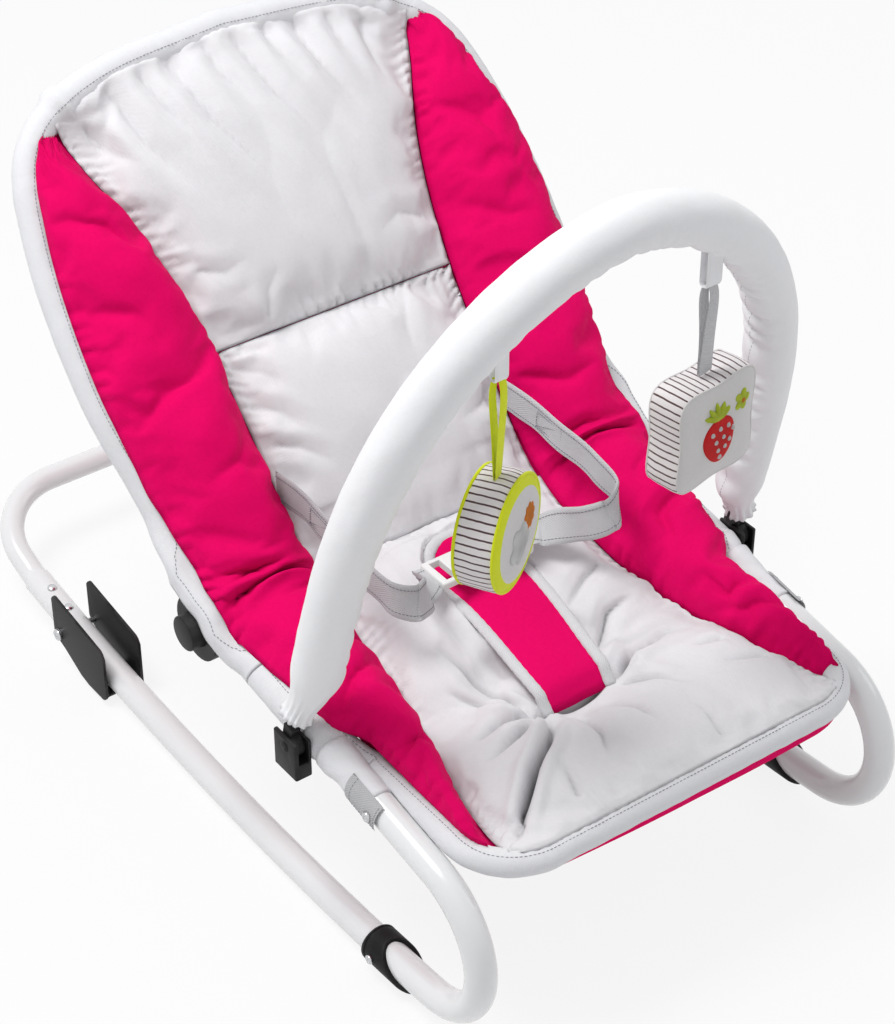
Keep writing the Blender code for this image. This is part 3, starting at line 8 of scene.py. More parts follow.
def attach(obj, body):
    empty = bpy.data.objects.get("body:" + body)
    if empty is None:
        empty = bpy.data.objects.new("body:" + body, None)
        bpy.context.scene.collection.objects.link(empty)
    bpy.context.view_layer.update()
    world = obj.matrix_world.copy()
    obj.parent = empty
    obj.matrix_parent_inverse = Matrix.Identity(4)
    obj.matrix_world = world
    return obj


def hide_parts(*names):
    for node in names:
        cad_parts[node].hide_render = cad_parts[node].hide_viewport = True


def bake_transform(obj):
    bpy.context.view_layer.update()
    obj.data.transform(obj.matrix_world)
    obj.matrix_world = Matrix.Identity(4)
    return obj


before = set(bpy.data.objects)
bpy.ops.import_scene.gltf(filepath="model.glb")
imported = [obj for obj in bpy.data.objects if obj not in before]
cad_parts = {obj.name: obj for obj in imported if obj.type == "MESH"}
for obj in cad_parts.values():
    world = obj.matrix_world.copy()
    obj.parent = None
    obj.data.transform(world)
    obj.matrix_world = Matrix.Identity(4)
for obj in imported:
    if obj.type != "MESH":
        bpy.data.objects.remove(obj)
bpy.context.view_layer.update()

studio = bpy.context.scene
studio.view_settings.view_transform = "Standard"

camera_data = bpy.data.cameras.new("camera")
camera_data.lens = 91.4
camera_data.sensor_width = 36.0
camera = bpy.data.objects.new("camera", camera_data)
camera.location = (-1.0028, -1.4294, 1.4962)
camera.rotation_euler = (radians(53.399), 0.0, radians(-36.356))
studio.collection.objects.link(camera)
studio.camera = camera


def add_node(tree, kind, settings=None, **inputs):
    """A node with its inputs set or linked, told by name, or by number as in i0."""
    node = tree.nodes.new(kind)
    for name, value in (settings or {}).items():
        setattr(node, name, value)
    for name, value in inputs.items():
        socket = node.inputs[int(name[1:]) if name[1:].isdigit() else name.replace("_", " ")]
        if isinstance(value, bpy.types.NodeSocket):
            tree.links.new(value, socket)
        else:
            socket.default_value = value
    return node


def math_node(tree, operation, a, b=0.5):
    return add_node(tree, "ShaderNodeMath", {"operation": operation}, i0=a, i1=b).outputs[0]


def seen_by_eye(tree):
    """1 where the eye, a reflection or clear glass looks at it, 0 where it only lights."""
    path = tree.nodes.new("ShaderNodeLightPath").outputs
    either = math_node(tree, "MAXIMUM", path["Is Camera Ray"], path["Is Glossy Ray"])
    return math_node(tree, "MAXIMUM", either, path["Is Transmission Ray"])


sky = bpy.data.worlds.new("white_sky")
sky.use_nodes = True
studio.world = sky
sky_tree = sky.node_tree
sky_tree.nodes.clear()
sky_light = add_node(sky_tree, "ShaderNodeBackground", Color=(0.97, 0.98, 1.0, 1), Strength=0.50)
sky_seen = add_node(sky_tree, "ShaderNodeBackground", Color=(1, 1, 1, 1), Strength=1.0)
sky_mix = add_node(sky_tree, "ShaderNodeMixShader", i0=seen_by_eye(sky_tree),
                   i1=sky_light.outputs[0], i2=sky_seen.outputs[0])
add_node(sky_tree, "ShaderNodeOutputWorld", Surface=sky_mix.outputs[0])

floor_paint = bpy.data.materials.new("pale_floor")
floor_paint.use_nodes = True
floor_tree = floor_paint.node_tree
floor_tree.nodes.clear()
floor_matt = add_node(floor_tree, "ShaderNodeBsdfDiffuse", Color=(0.86, 0.86, 0.86, 1))
floor_white = add_node(floor_tree, "ShaderNodeEmission", Strength=1.0)
floor_share = math_node(floor_tree, "MULTIPLY", seen_by_eye(floor_tree), 0.86)
floor_mix = add_node(floor_tree, "ShaderNodeMixShader", i0=floor_share, i1=floor_matt.outputs[0],
                     i2=floor_white.outputs[0])
add_node(floor_tree, "ShaderNodeOutputMaterial", Surface=floor_mix.outputs[0])
floor_mesh = bpy.data.meshes.new("floor")
floor_mesh.from_pydata([(x, y, -0.0004) for x, y in ((-60, -60), (60, -60), (60, 60), (-60, 60))],
                       [], [(0, 1, 2, 3)])
floor_mesh.materials.append(floor_paint)
floor = bpy.data.objects.new("floor", floor_mesh)
studio.collection.objects.link(floor)


def soft_lamp(name, place, aim, size, power):
    lamp = bpy.data.lights.new(name, "AREA")
    lamp.shape = "DISK"
    lamp.size = size
    lamp.energy = power
    holder = bpy.data.objects.new(name, lamp)
    holder.location = place
    holder.rotation_euler = (Vector(aim) - Vector(place)).to_track_quat("-Z", "Y").to_euler()
    studio.collection.objects.link(holder)


soft_lamp("lamp_overhead", (-0.9, 0.4, 2.6), (0, 0, 0.2), 1.2, 43)
soft_lamp("lamp_right", (2.2, -1.0, 1.6), (0, 0, 0.25), 1.4, 8)


# The runners: one 25 mm steel tube each side, coated white. It lies on the floor in a long arc,
# turns back in a hairpin at the front and rises as the arm to the recline hinge.
MIDDLE = 0.0658
HALF_TRACK = 0.200
TUBE = 0.0125
ROCKING_RADIUS = 2.46
WHITE_COAT = (0.84, 0.845, 0.85)


def at(x, y, z):
    """A place measured from where the runners touch the floor, set back to the model's middle."""
    return Vector((x, y - MIDDLE, z))


def group_ends(tree, inputs, outputs):
    """Give a node group its sockets, each a name and a kind, and return its two ends."""
    for way, wanted in (("INPUT", inputs), ("OUTPUT", outputs)):
        for name, kind in wanted.items():
            tree.interface.new_socket(name=name, in_out=way, socket_type="NodeSocket" + kind)
    return tree.nodes.new("NodeGroupInput").outputs, tree.nodes.new("NodeGroupOutput").inputs


def times(tree, a, b):
    return math_node(tree, "MULTIPLY", a, b)


def plus(tree, a, b):
    return math_node(tree, "ADD", a, b)


def noise_node(tree, vector, scale, detail=2.0, roughness=0.5):
    return add_node(tree, "ShaderNodeTexNoise", Vector=vector, Scale=scale, Detail=detail,
                    Roughness=roughness).outputs["Fac"]


def blend_colour(tree, share, first, second):
    first, second = ((*c, 1.0) if isinstance(c, tuple) else c for c in (first, second))
    return add_node(tree, "ShaderNodeMix", {"data_type": "RGBA"}, i0=share, i6=first,
                    i7=second).outputs[2]


def masked(tree, value, low, high):
    return add_node(tree, "ShaderNodeMapRange", Value=value, From_Min=low,
                    From_Max=high).outputs["Result"]


def bump(tree, height, distance, strength, **under):
    return add_node(tree, "ShaderNodeBump", Height=height, Distance=distance, Strength=strength,
                    **under).outputs["Normal"]


# Hard parts share one surface effect: fine grain, uneven gloss, and scuffs where edges stand out
hard_skin = bpy.data.node_groups.new("hard_skin", "ShaderNodeTree")
SKIN_GIVES = {"Colour": "Color", "Roughness": "Float", "Normal": "Vector"}
skin_in, skin_out = group_ends(
    hard_skin, {"Vector": "Vector", "Colour": "Color", "Scuffed": "Color", "Gloss": "Float",
                "Grain": "Float", "Grain Scale": "Float", "Wear": "Float"}, SKIN_GIVES)
skin_form = hard_skin.nodes.new("ShaderNodeNewGeometry").outputs["Pointiness"]
skin_patch = masked(hard_skin, noise_node(hard_skin, skin_in["Vector"], 42.0, 4.0, 0.65), 0.35, 0.75)
skin_wear = times(hard_skin, times(hard_skin, masked(hard_skin, skin_form, 0.512, 0.56), skin_patch),
                  skin_in["Wear"])
skin_cloud = noise_node(hard_skin, skin_in["Vector"], 9.0, 3.0)
skin_tone = blend_colour(hard_skin, times(hard_skin, skin_cloud, 0.10), skin_in["Colour"],
                         skin_in["Scuffed"])
skin_uneven = times(hard_skin, math_node(hard_skin, "SUBTRACT", skin_cloud, 0.5), 0.12)
skin_rough = plus(hard_skin, skin_in["Gloss"], skin_uneven)
skin_grain = noise_node(hard_skin, skin_in["Vector"], skin_in["Grain Scale"])
for made, wanted in (
        (blend_colour(hard_skin, skin_wear, skin_tone, skin_in["Scuffed"]), "Colour"),
        (plus(hard_skin, skin_rough, times(hard_skin, skin_wear, 0.2)), "Roughness"),
        (bump(hard_skin, skin_grain, 0.0002, skin_in["Grain"]), "Normal")):
    hard_skin.links.new(made, skin_out[wanted])


def surfaced(name, group, spaces, values):
    """A material whose colour, roughness and normal come from a surface effect."""
    material = bpy.data.materials.new(name)
    material.use_nodes = True
    tree = material.node_tree
    shader = tree.nodes["Principled BSDF"].inputs
    place = tree.nodes.new("ShaderNodeTexCoord").outputs
    values = {socket: (*v, 1.0) if isinstance(v, tuple) else v for socket, v in values.items()}
    skin = add_node(tree, "ShaderNodeGroup", {"node_tree": group}, **values,
                    **{socket: place[space] for socket, space in spaces.items()})
    for made, wanted in (("Colour", "Base Color"), ("Roughness", "Roughness"), ("Normal", "Normal")):
        tree.links.new(skin.outputs[made], shader[wanted])
    return material, tree, shader


def hard_finish(name, colour, scuffed, gloss, grain, grain_scale, wear, metallic=0.0, coat=0.0):
    material, tree, shader = surfaced(name, hard_skin, {"Vector": "Object"}, {
        "Colour": colour, "Scuffed": scuffed, "Gloss": gloss, "Grain": grain,
        "Grain Scale": grain_scale, "Wear": wear})
    shader["Metallic"].default_value = metallic
    if max(colour) < 0.05:
        shader["Specular IOR Level"].default_value = 0.14
    shader["Coat Weight"].default_value = coat
    shader["Coat Roughness"].default_value = 0.12
    return material


white_coat = hard_finish("white_powder_coat", WHITE_COAT, (0.55, 0.55, 0.54), 0.24, 0.05, 900, 0.25,
                         coat=0.35)


def finished(name, mesh, body, material, stands_for=(), smooth=60.0):
    """Put one finished piece on its body, shaded smooth except at its real edges."""
    mesh.name = name
    if not len(mesh.materials):
        mesh.materials.append(material)
    mesh.shade_smooth()
    if smooth < 180:
        mesh.set_sharp_from_angle(angle=radians(smooth))
    piece = bpy.data.objects.new(name, mesh)
    studio.collection.objects.link(piece)
    if body:
        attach(piece, body)
    if stands_for:
        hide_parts(*stands_for)
    return piece


def run_lengths(points):
    """How far along a row of points each of them lies."""
    return np.concatenate([[0], np.cumsum(np.linalg.norm(np.diff(points, axis=0), axis=1))])


def faced_out(shape, mesh):
    bmesh.ops.recalc_face_normals(shape, faces=shape.faces)
    if shape.calc_volume(signed=True) < 0:
        bmesh.ops.reverse_faces(shape, faces=shape.faces)
    shape.to_mesh(mesh)
    shape.free()
    return mesh


def woven_mesh(points, tube=False):
    """A mesh over rows and columns of points, with a map in metres for the cloth's threads. A tube
    is closed round each row and capped at both ends."""
    points = np.asarray(points, float)
    rows, columns = points.shape[:2]
    verts = [tuple(p) for p in points.reshape(-1, 3)]
    along, across = run_lengths(points[:, columns // 2]), run_lengths(points[rows // 2])
    if tube:
        closing = np.linalg.norm(points[rows // 2, 0] - points[rows // 2, -1])
        across = np.concatenate([across, [across[-1] + closing]])
    faces, uvs = [], []
    for i in range(rows - 1):
        for j in range(columns if tube else columns - 1):
            k = (j + 1) % columns
            a, b = i * columns, (i + 1) * columns
            faces.append((a + j, a + k, b + k, b + j))
            uvs += [(across[j], along[i]), (across[j + 1], along[i]),
                    (across[j + 1], along[i + 1]), (across[j], along[i + 1])]
    for i in (0, rows - 1) if tube else ():
        verts.append(tuple(points[i].mean(axis=0)))
        for j in range(columns):
            faces.append((i * columns + j, i * columns + (j + 1) % columns, len(verts) - 1))
            uvs += [(across[j], along[i]), (across[j + 1], along[i]), (across[j], along[i] + 0.002)]
    mesh = bpy.data.meshes.new("woven")
    mesh.from_pydata(verts, [], faces)
    threads = mesh.uv_layers.new(name="threads")
    threads.data.foreach_set("uv", [n for uv in uvs for n in uv])
    if tube:
        shape = bmesh.new()
        shape.from_mesh(mesh)
        bmesh.ops.remove_doubles(shape, verts=shape.verts, dist=0.000002)
        faced_out(shape, mesh)
    return mesh


def carried_frames(path, side=(1, 0, 0)):
    """Side and up directions carried along a path without twist."""
    path = [Vector(p) for p in path]
    frames = []
    side = Vector(side)
    for i in range(len(path)):
        ahead = (path[min(i + 1, len(path) - 1)] - path[max(i - 1, 0)]).normalized()
        side = (side - ahead * side.dot(ahead)).normalized()
        frames.append((ahead, side.copy(), ahead.cross(side).normalized()))
    return path, frames


def swept(path, radius, sides=32, side=(1, 0, 0), lip=0.0):
    """A bent tube. radius is a number or a rule of (share along, angle); lip rounds its ends."""
    path, frames = carried_frames(path, side)
    rule = radius if callable(radius) else (lambda share, angle: radius)
    turns = [2 * pi * j / sides for j in range(sides)]
    rings = [[place + (across * cos(a) + up * sin(a)) * rule(i / (len(path) - 1), a) for a in turns]
             for i, (place, (ahead, across, up)) in enumerate(zip(path, frames))]
    if lip:
        for end, neighbour in ((0, 1), (-1, -2)):
            place = path[end]
            away = (path[end] - path[neighbour]).normalized()
            extra = []
            for turn in (30, 60, 90):
                shrink = lip * (1 - cos(radians(turn)))
                reach = lip * sin(radians(turn)) - lip
                extra.append([point + away * reach - (point - place).normalized() * shrink
                              for point in rings[end]])
            first = [point - away * lip for point in rings[end]]
            rings = extra[::-1] + [first] + rings[1:] if end == 0 else rings[:-1] + [first] + extra
    return woven_mesh(rings, tube=True)


def eased(low, high, value):
    t = min(max((value - low) / (high - low), 0.0), 1.0)
    return t * t * (3 - 2 * t)


def arc_rise(y):
    return ROCKING_RADIUS - sqrt(ROCKING_RADIUS ** 2 - y * y)


TOUCH_Y = 0.0382


def runner_z(y):
    """Height of the runner's middle line, flattened a little where it touches the floor."""
    lift = 0.00072 * (1 - eased(0.10, 0.25, abs(y)))
    return TUBE * cos(pi / 12) + arc_rise(y) - arc_rise(TOUCH_Y) + lift


RUNNER_FRONT, RUNNER_REAR = -0.255, 0.356
FRONT_SLOPE = asin(-RUNNER_FRONT / ROCKING_RADIUS)
HAIRPIN = 0.066
HAIRPIN_Y, HAIRPIN_Z = -0.24816, 0.09067
ARM_TILT = radians(9.6657)
HINGE_Y, HINGE_Z = 0.030, 0.205
HINGE = at(0, HINGE_Y, HINGE_Z)
arm_way = Vector((0, cos(ARM_TILT), sin(ARM_TILT)))


def arm_z(y):
    return HINGE_Z + (y - HINGE_Y) * tan(ARM_TILT)


for side_name, side in (("left", -1), ("right", 1)):
    x = side * HALF_TRACK
    runner_ys = [RUNNER_REAR + (RUNNER_FRONT - RUNNER_REAR) * n / 80 for n in range(81)]
    run = [at(x, y, runner_z(y)) for y in runner_ys]
    start, end = 3 * pi / 2 - FRONT_SLOPE, pi / 2 + ARM_TILT
    for n in range(1, 37):
        a = start + (end - start) * n / 36
        run.append(at(x, HAIRPIN_Y + HAIRPIN * cos(a), HAIRPIN_Z + HAIRPIN * sin(a)))
    arm_start, arm_end = run[-1], HINGE + Vector((x, 0, 0)) - arm_way * 0.0381
    run += [arm_start.lerp(arm_end, n / 20) for n in range(1, 21)]
    finished("side_tube_white_" + side_name, swept(run, TUBE, 36, lip=0.0009), "rocker_frame",
             white_coat, ["side_tube_" + side_name])

# The rear bar: a smaller white tube bent to a low U and pushed into the rear ends of the runners.
# The front rail is a CAD form of its own and only takes the same coat.
mouth = at(-HALF_TRACK, RUNNER_REAR, runner_z(RUNNER_REAR))
runner_way = Vector((0, 0.0763, runner_z(RUNNER_REAR) - runner_z(RUNNER_REAR - 0.0763))).normalized()
slope_way = Vector((0, cos(radians(20)), sin(radians(20))))
bar = [mouth - runner_way * 0.03, mouth, mouth + runner_way * 0.003]
bar += [bar[-1] + slope_way * 0.004 + runner_way * 0.002]
BAR_BEND = 0.068
corner = mouth + runner_way * 0.004 + slope_way * 0.025
bar += [corner - slope_way * 0.008, corner]
for n in range(1, 25):
    a = pi / 2 * n / 24
    bar.append(corner + slope_way * BAR_BEND * sin(a) + Vector((BAR_BEND * (1 - cos(a)), 0, 0)))
bar += [bar[-1].lerp(Vector((0, bar[-1].y, bar[-1].z)), n / 6) for n in range(1, 7)]
bar += [Vector((-p.x, p.y, p.z)) for p in reversed(bar[:-1])]
finished("rear_bar_white", swept(bar, 0.011), "rocker_frame", white_coat, ["rear_bar"])


def recoated(node, material):
    """Give a CAD form that is left as it is its material."""
    materials = bpy.data.objects[node].data.materials
    materials.clear()
    materials.append(material)


recoated("front_rail", white_coat)

# Front shoes: black rubber sleeves pushed on the runners. The front is cut at a slant, so that
# the sole reaches further forward than the top, and a shallow rib runs round the rear edge.
rubber = hard_finish("black_rubber_shoe", (0.006, 0.006, 0.0065), (0.07, 0.07, 0.07), 0.55, 0.30, 1300, 0.5)
SHOE = 0.0163
SHOE_REAR, SHOE_FRONT = -0.181, -0.236
SHOE_PROFILE = [(0.0, -0.0037), (0.0, -0.0010), (0.012, -0.0003), (0.035, 0.0), (0.10, 0.0),
                (0.12, -0.0007), (0.15, -0.0008), (0.17, -0.0001), (0.30, 0.0), (0.5, 0.0), (0.7, 0.0),
                (0.85, 0.0), (0.95, 0.0), (0.985, -0.0004), (1.0, -0.0013), (1.0, -0.0037)]
for side_name, side in (("left", -1), ("right", 1)):
    rings = []
    for share, inward in SHOE_PROFILE:
        ring = []
        for j in range(48):
            a = 2 * pi * j / 48
            front_y = SHOE_FRONT + 2 * SHOE * tan(radians(48)) * (0.5 + 0.5 * sin(a))
            y = SHOE_REAR + (front_y - SHOE_REAR) * share
            r = SHOE + inward
            ring.append(at(side * HALF_TRACK, y, runner_z(y))
                        + Vector((r * cos(a), 0, max(r * sin(a), -r * 0.985))))
        rings.append(ring)
    finished("front_shoe_rubber_" + side_name, woven_mesh(rings, tube=True), "rocker_frame", rubber,
             ["front_shoe_" + side_name], 40)


# Moulded black parts: hinge housings, turning discs, release buttons, rear feet, bar clips and
# knuckles. Fine-grained nylon with its edges rounded, as it leaves the mould.
nylon = hard_finish("black_nylon", (0.006, 0.006, 0.0065), (0.08, 0.08, 0.08), 0.42, 0.22, 1700, 0.8)


def moulded(node, rounding, segments=3):
    """A CAD part's own form with its flats made whole again and its edges rounded."""
    mesh = bpy.data.objects[node].data.copy()
    shape = bmesh.new()
    shape.from_mesh(mesh)
    bmesh.ops.remove_doubles(shape, verts=shape.verts, dist=0.00001)
    bmesh.ops.dissolve_limit(shape, angle_limit=radians(2), verts=shape.verts, edges=shape.edges,
                             use_dissolve_boundaries=False)
    sharp = [e for e in shape.edges if len(e.link_faces) == 2 and e.calc_face_angle(0) > radians(35)]
    bmesh.ops.bevel(shape, geom=sharp, offset=rounding, segments=segments, affect="EDGES",
                    profile=0.6, clamp_overlap=True)
    bmesh.ops.triangulate(shape, faces=[f for f in shape.faces if len(f.verts) > 4])
    shape.to_mesh(mesh)
    shape.free()
    mesh.materials.clear()
    return mesh


for side_name in ("left", "right"):
    for node, body, rounding in (
            ("hinge_housing_", "rocker_frame", 0.0014), ("backrest_disc_", "backrest", 0.0009),
            ("recline_button_", "recline_button_" + side_name, 0.0007),
            ("rear_foot_", "rear_foot_" + side_name, 0.0006),
            ("toy_bar_clip_", "rocker_frame", 0.0009), ("toy_bar_knuckle_", "toy_bar", 0.0010)):
        name = node + side_name
        finished(name + "_moulded", moulded(name, rounding), body, nylon, [name], 32)

# The backrest tube: 19 mm steel bent to a tall U, white where it shows between hinge and hem.
BACK_LEAN = radians(49.2)
back_way = Vector((0, cos(BACK_LEAN), sin(BACK_LEAN)))
back_out = Vector((0, -sin(BACK_LEAN), cos(BACK_LEAN)))
BACK_HALF = [(0.1985, 0.044), (0.217, 0.130), (0.2255, 0.210), (0.2185, 0.320), (0.192, 0.398),
             (0.120, 0.434), (0.0, 0.446)]


def back_at(x, up, out=0.0):
    return HINGE + Vector((x, 0, 0)) + back_way * up + back_out * out


def through(points, steps):
    """A smooth line through the points."""
    points = [Vector(p) for p in points]
    ends = [2 * points[0] - points[1]] + points + [2 * points[-1] - points[-2]]
    line = []
    for i in range(1, len(ends) - 2):
        a, b, c, d = ends[i - 1:i + 3]
        for n in range(steps):
            t = n / steps
            line.append(0.5 * (2 * b + (c - a) * t + (2 * a - 5 * b + 4 * c - d) * t * t
                               + (3 * b - a - 3 * c + d) * t ** 3))
    line.append(points[-1])
    return line


def even(line, count):
    """The same line with its points at even distances."""
    places = np.array([list(p) for p in line])
    lengths = run_lengths(places)
    wanted = np.linspace(0, lengths[-1], count)
    return [Vector(p) for p in np.stack([np.interp(wanted, lengths, axis) for axis in places.T], 1)]


half_line = through([(x, up, 0) for x, up in BACK_HALF], 12)
flat_line = [Vector((-p.x, p.y, 0)) for p in half_line] + half_line[::-1][1:]
flat_line = [Vector((-0.1985, 0.0383, 0))] + flat_line + [Vector((0.1985, 0.0383, 0))]
finished("backrest_tube_white", swept([back_at(p.x, p.y) for p in even(flat_line, 150)], 0.0095, 24),
         "backrest", white_coat, ["backrest_tube"])


# The hems: folded whitish polyester sewn round the arms and front rail, and round the backrest
# tube. One dark seam runs near their inner edge all the way round.
woven = bpy.data.node_groups.new("woven_cloth", "ShaderNodeTree")
cloth_in, cloth_out = group_ends(
    woven, {"Vector": "Vector", "Place": "Vector", "Colour": "Color", "Deep": "Color",
            "Threads": "Float", "Relief": "Float", "Crumple": "Float"}, SKIN_GIVES)
cloth_split = add_node(woven, "ShaderNodeSeparateXYZ", i0=cloth_in["Vector"]).outputs
thread_turn = times(woven, cloth_in["Threads"], pi)
over_under = times(woven, *[math_node(woven, "SINE", times(woven, cloth_split[way], thread_turn))
                            for way in ("X", "Y")])
cloth_slub = noise_node(woven, cloth_in["Vector"], 260.0, 3.0, 0.6)
cloth_cloud = noise_node(woven, cloth_in["Place"], 14.0, 3.0, 0.55)
cloth_crease = noise_node(woven, cloth_in["Place"], 34.0, 4.0, 0.62)
deep_share = plus(woven, times(woven, over_under, -0.10),
                  times(woven, masked(woven, cloth_slub, 0.45, 0.8), 0.22))
deep_share = plus(woven, deep_share, times(woven, masked(woven, cloth_cloud, 0.4, 0.8), 0.22))
thread_bump = bump(woven, plus(woven, over_under, cloth_slub), 0.00025, cloth_in["Relief"])
for made, wanted in (
        (blend_colour(woven, deep_share, cloth_in["Colour"], cloth_in["Deep"]), "Colour"),
        (plus(woven, 0.66, times(woven, cloth_slub, 0.2)), "Roughness"),
        (bump(woven, cloth_crease, 0.004, cloth_in["Crumple"], Normal=thread_bump), "Normal")):
    woven.links.new(made, cloth_out[wanted])


def cloth_finish(name, colour, deep, threads=1500, relief=0.5, crumple=0.12, sheen=0.15):
    material, tree, shader = surfaced(name, woven, {"Vector": "UV", "Place": "Object"}, {
        "Colour": colour, "Deep": deep, "Threads": threads, "Relief": relief, "Crumple": crumple})
    shader["Sheen Weight"].default_value = sheen
    shader["Sheen Roughness"].default_value = 0.45
    shader["Sheen Tint"].default_value = (1, 1, 1, 1)
    shader["Specular IOR Level"].default_value = 0.25
    return material


hem_cloth = cloth_finish("hem_polyester", (0.84, 0.84, 0.86), (0.70, 0.70, 0.725))
RAIL_Z = 0.17002
rail_line = [(-0.1802, -0.150), (-0.1802, -0.20), (-0.1802, -0.256)]
for n in range(1, 17):
    a = pi / 2 * n / 16
    rail_line.append((-0.1302 - 0.050 * cos(a), -0.256 - 0.050 * sin(a)))
rail_line += [(-0.1302 * (1 - n / 10), -0.306) for n in range(1, 11)]


def seat_rail_z(y):
    above = arm_z(y) - RAIL_Z
    return RAIL_Z + (above + hypot(above, 0.006)) / 2


hem_left = [(-0.2000, y, arm_z(y)) for y in np.linspace(-0.012, -0.116, 16)]
hem_left += [(-0.1802, y, RAIL_Z) for y in np.linspace(-0.150, -0.250, 12)]
hem_left += [(x, y, RAIL_Z) for x, y in rail_line[2:]]
hem_half = [at(*p) for p in hem_left]
hem_line = even(through(hem_half + [Vector((-p.x, p.y, p.z)) for p in hem_half[::-1][1:]], 3), 420)


def hem_radius(place):
    """The sleeve is wide round the arm and narrow round the rail."""
    y = place.y + MIDDLE
    return 0.0107 + 0.0060 * eased(-0.148, -0.118, y)


def cockled(place, angle, size, seed):
    """Slow, even unevenness of sewn cloth, from -1 to 1."""
    return noise.noise(place * (1 / size) + Vector((seed, 0, angle / 2)))


def gathered(i, angle, steps, waver, top):
    """The small even puckers that the seam draws along the top of the sleeve."""
    return 0.0004 * sin(i * steps + 2 * sin(i * waver)) * exp(-((angle - top) / 0.5) ** 2)


SLEEVE_TURNS = [2 * pi * j / 36 for j in range(36)]
hem_places, hem_frames = carried_frames(hem_line)
hem_rings, seam_row = [], []
for i, (place, (ahead, across, up)) in enumerate(zip(hem_places, hem_frames)):
    r = hem_radius(place)
    ring = []
    for a in SLEEVE_TURNS:
        wave = 0.00045 * cockled(place, a, 0.013, 3.0) + gathered(i, a, 1.9, 0.37, 1.35)
        point = place + (across * cos(a) + up * sin(a)) * (r + wave)
        y = point.y + MIDDLE
        away = point - at(HALF_TRACK if point.x > 0 else -HALF_TRACK, y, arm_z(y))
        away.y = 0
        if y < -0.13 and away.length < 0.0130:
            point = point + away.normalized() * (0.0130 - away.length)
        ring.append(point)
    hem_rings.append(ring)
    y = place.y + MIDDLE
    lean = radians(76 + 12 * eased(-0.116, -0.150, y) + 16 * eased(-0.250, -0.290, y)
                   + 34 * eased(-0.104, -0.070, y))
    seam_row.append(place + (across * cos(lean) + up * sin(lean)) * (r + 0.0002))
finished("seat_hem", woven_mesh(hem_rings, tube=True), "rocker_frame", hem_cloth,
         ["side_hem_left", "side_hem_right", "front_hem"], 180)

back_hem_line = even([p for p in even(flat_line, 600) if p.y > 0.058], 330)
back_places, back_frames = carried_frames([back_at(p.x, p.y) for p in back_hem_line])
back_rings, back_seam_row = [], []
for i, (spot, place, (ahead, across, up)) in enumerate(zip(back_hem_line, back_places, back_frames)):
    inward = back_out.cross(ahead).normalized()
    if inward.dot(HINGE + back_way * 0.22 - place) < 0:
        inward = -inward
    x = abs(spot.x)
    top = eased(0.168, 0.155, x) if spot.y > 0.35 else 0.0
    ear = exp(-((x - 0.158) / 0.007) ** 2) if spot.y > 0.35 else 0.0
    r = 0.0126 + 0.0018 * top + 0.0034 * ear
    ring = []
    for a in SLEEVE_TURNS:
        wave = 0.0005 * cockled(place, a, 0.015, 9.0) + gathered(i, a, 1.7, 0.31, 1.4)
        ring.append(place + (inward * cos(a) + back_out * sin(a)) * (r + wave))
    back_rings.append(ring)
    lean = radians(83 + 8 * (1 - eased(0.340, 0.392, spot.y)) + 16 * (1 - eased(0.150, 0.340, spot.y)))
    back_seam_row.append(place + (inward * cos(lean) + back_out * sin(lean)) * (r + 0.0003))
finished("backrest_hem_sewn", woven_mesh(back_rings, tube=True), "backrest", hem_cloth,
         ["backrest_hem"], 180)

# Seams: short locked stitches of dark grey thread, set one after the other along each seam line.
thread = bpy.data.materials.new("seam_thread")
thread.use_nodes = True
thread_tree = thread.node_tree
thread_shader = thread_tree.nodes["Principled BSDF"].inputs
thread_place = thread_tree.nodes.new("ShaderNodeTexCoord").outputs["Object"]
thread_twist = noise_node(thread_tree, thread_place, 2600.0)
thread_tree.links.new(blend_colour(thread_tree, thread_twist, (0.10, 0.10, 0.12), (0.28, 0.28, 0.32)),
                      thread_shader["Base Color"])
thread_tree.links.new(bump(thread_tree, thread_twist, 0.0001, 0.6), thread_shader["Normal"])
thread_shader["Roughness"].default_value = 0.6


def set_on_points(tree, points, thing, way, scale, material, out):
    """Set one form on every point, its Z along a direction, as real geometry with its material."""
    turn = add_node(tree, "FunctionNodeAlignRotationToVector", {"axis": "Z"}, Vector=way).outputs[0]
    placed = add_node(tree, "GeometryNodeInstanceOnPoints", Points=points, Instance=thing,
                      Rotation=turn, Scale=scale)
    real = add_node(tree, "GeometryNodeRealizeInstances", Geometry=placed.outputs["Instances"])
    coated = add_node(tree, "GeometryNodeSetMaterial", Geometry=real.outputs["Geometry"],
                      Material=material)
    tree.links.new(coated.outputs["Geometry"], out)


stitch_tree = bpy.data.node_groups.new("stitch_row", "GeometryNodeTree")
row_in, row_out = group_ends(stitch_tree, {"Seam": "Geometry", "Pitch": "Float", "Length": "Float",
                                           "Thickness": "Float", "Thread": "Material"},
                             {"Stitches": "Geometry"})
row_curve = add_node(stitch_tree, "GeometryNodeMeshToCurve", Mesh=row_in["Seam"])
row_even = add_node(stitch_tree, "GeometryNodeResampleCurve", {"mode": "LENGTH"},
                    Curve=row_curve.outputs["Curve"], Length=row_in["Pitch"])
one_stitch = add_node(stitch_tree, "GeometryNodeMeshUVSphere", Segments=6, Rings=4, Radius=0.5)
stitch_size = add_node(stitch_tree, "ShaderNodeCombineXYZ", X=row_in["Thickness"],
                       Y=row_in["Thickness"], Z=row_in["Length"])
set_on_points(stitch_tree, row_even.outputs["Curve"], one_stitch.outputs["Mesh"],
              stitch_tree.nodes.new("GeometryNodeInputTangent").outputs[0], stitch_size.outputs[0],
              row_in["Thread"], row_out["Stitches"])


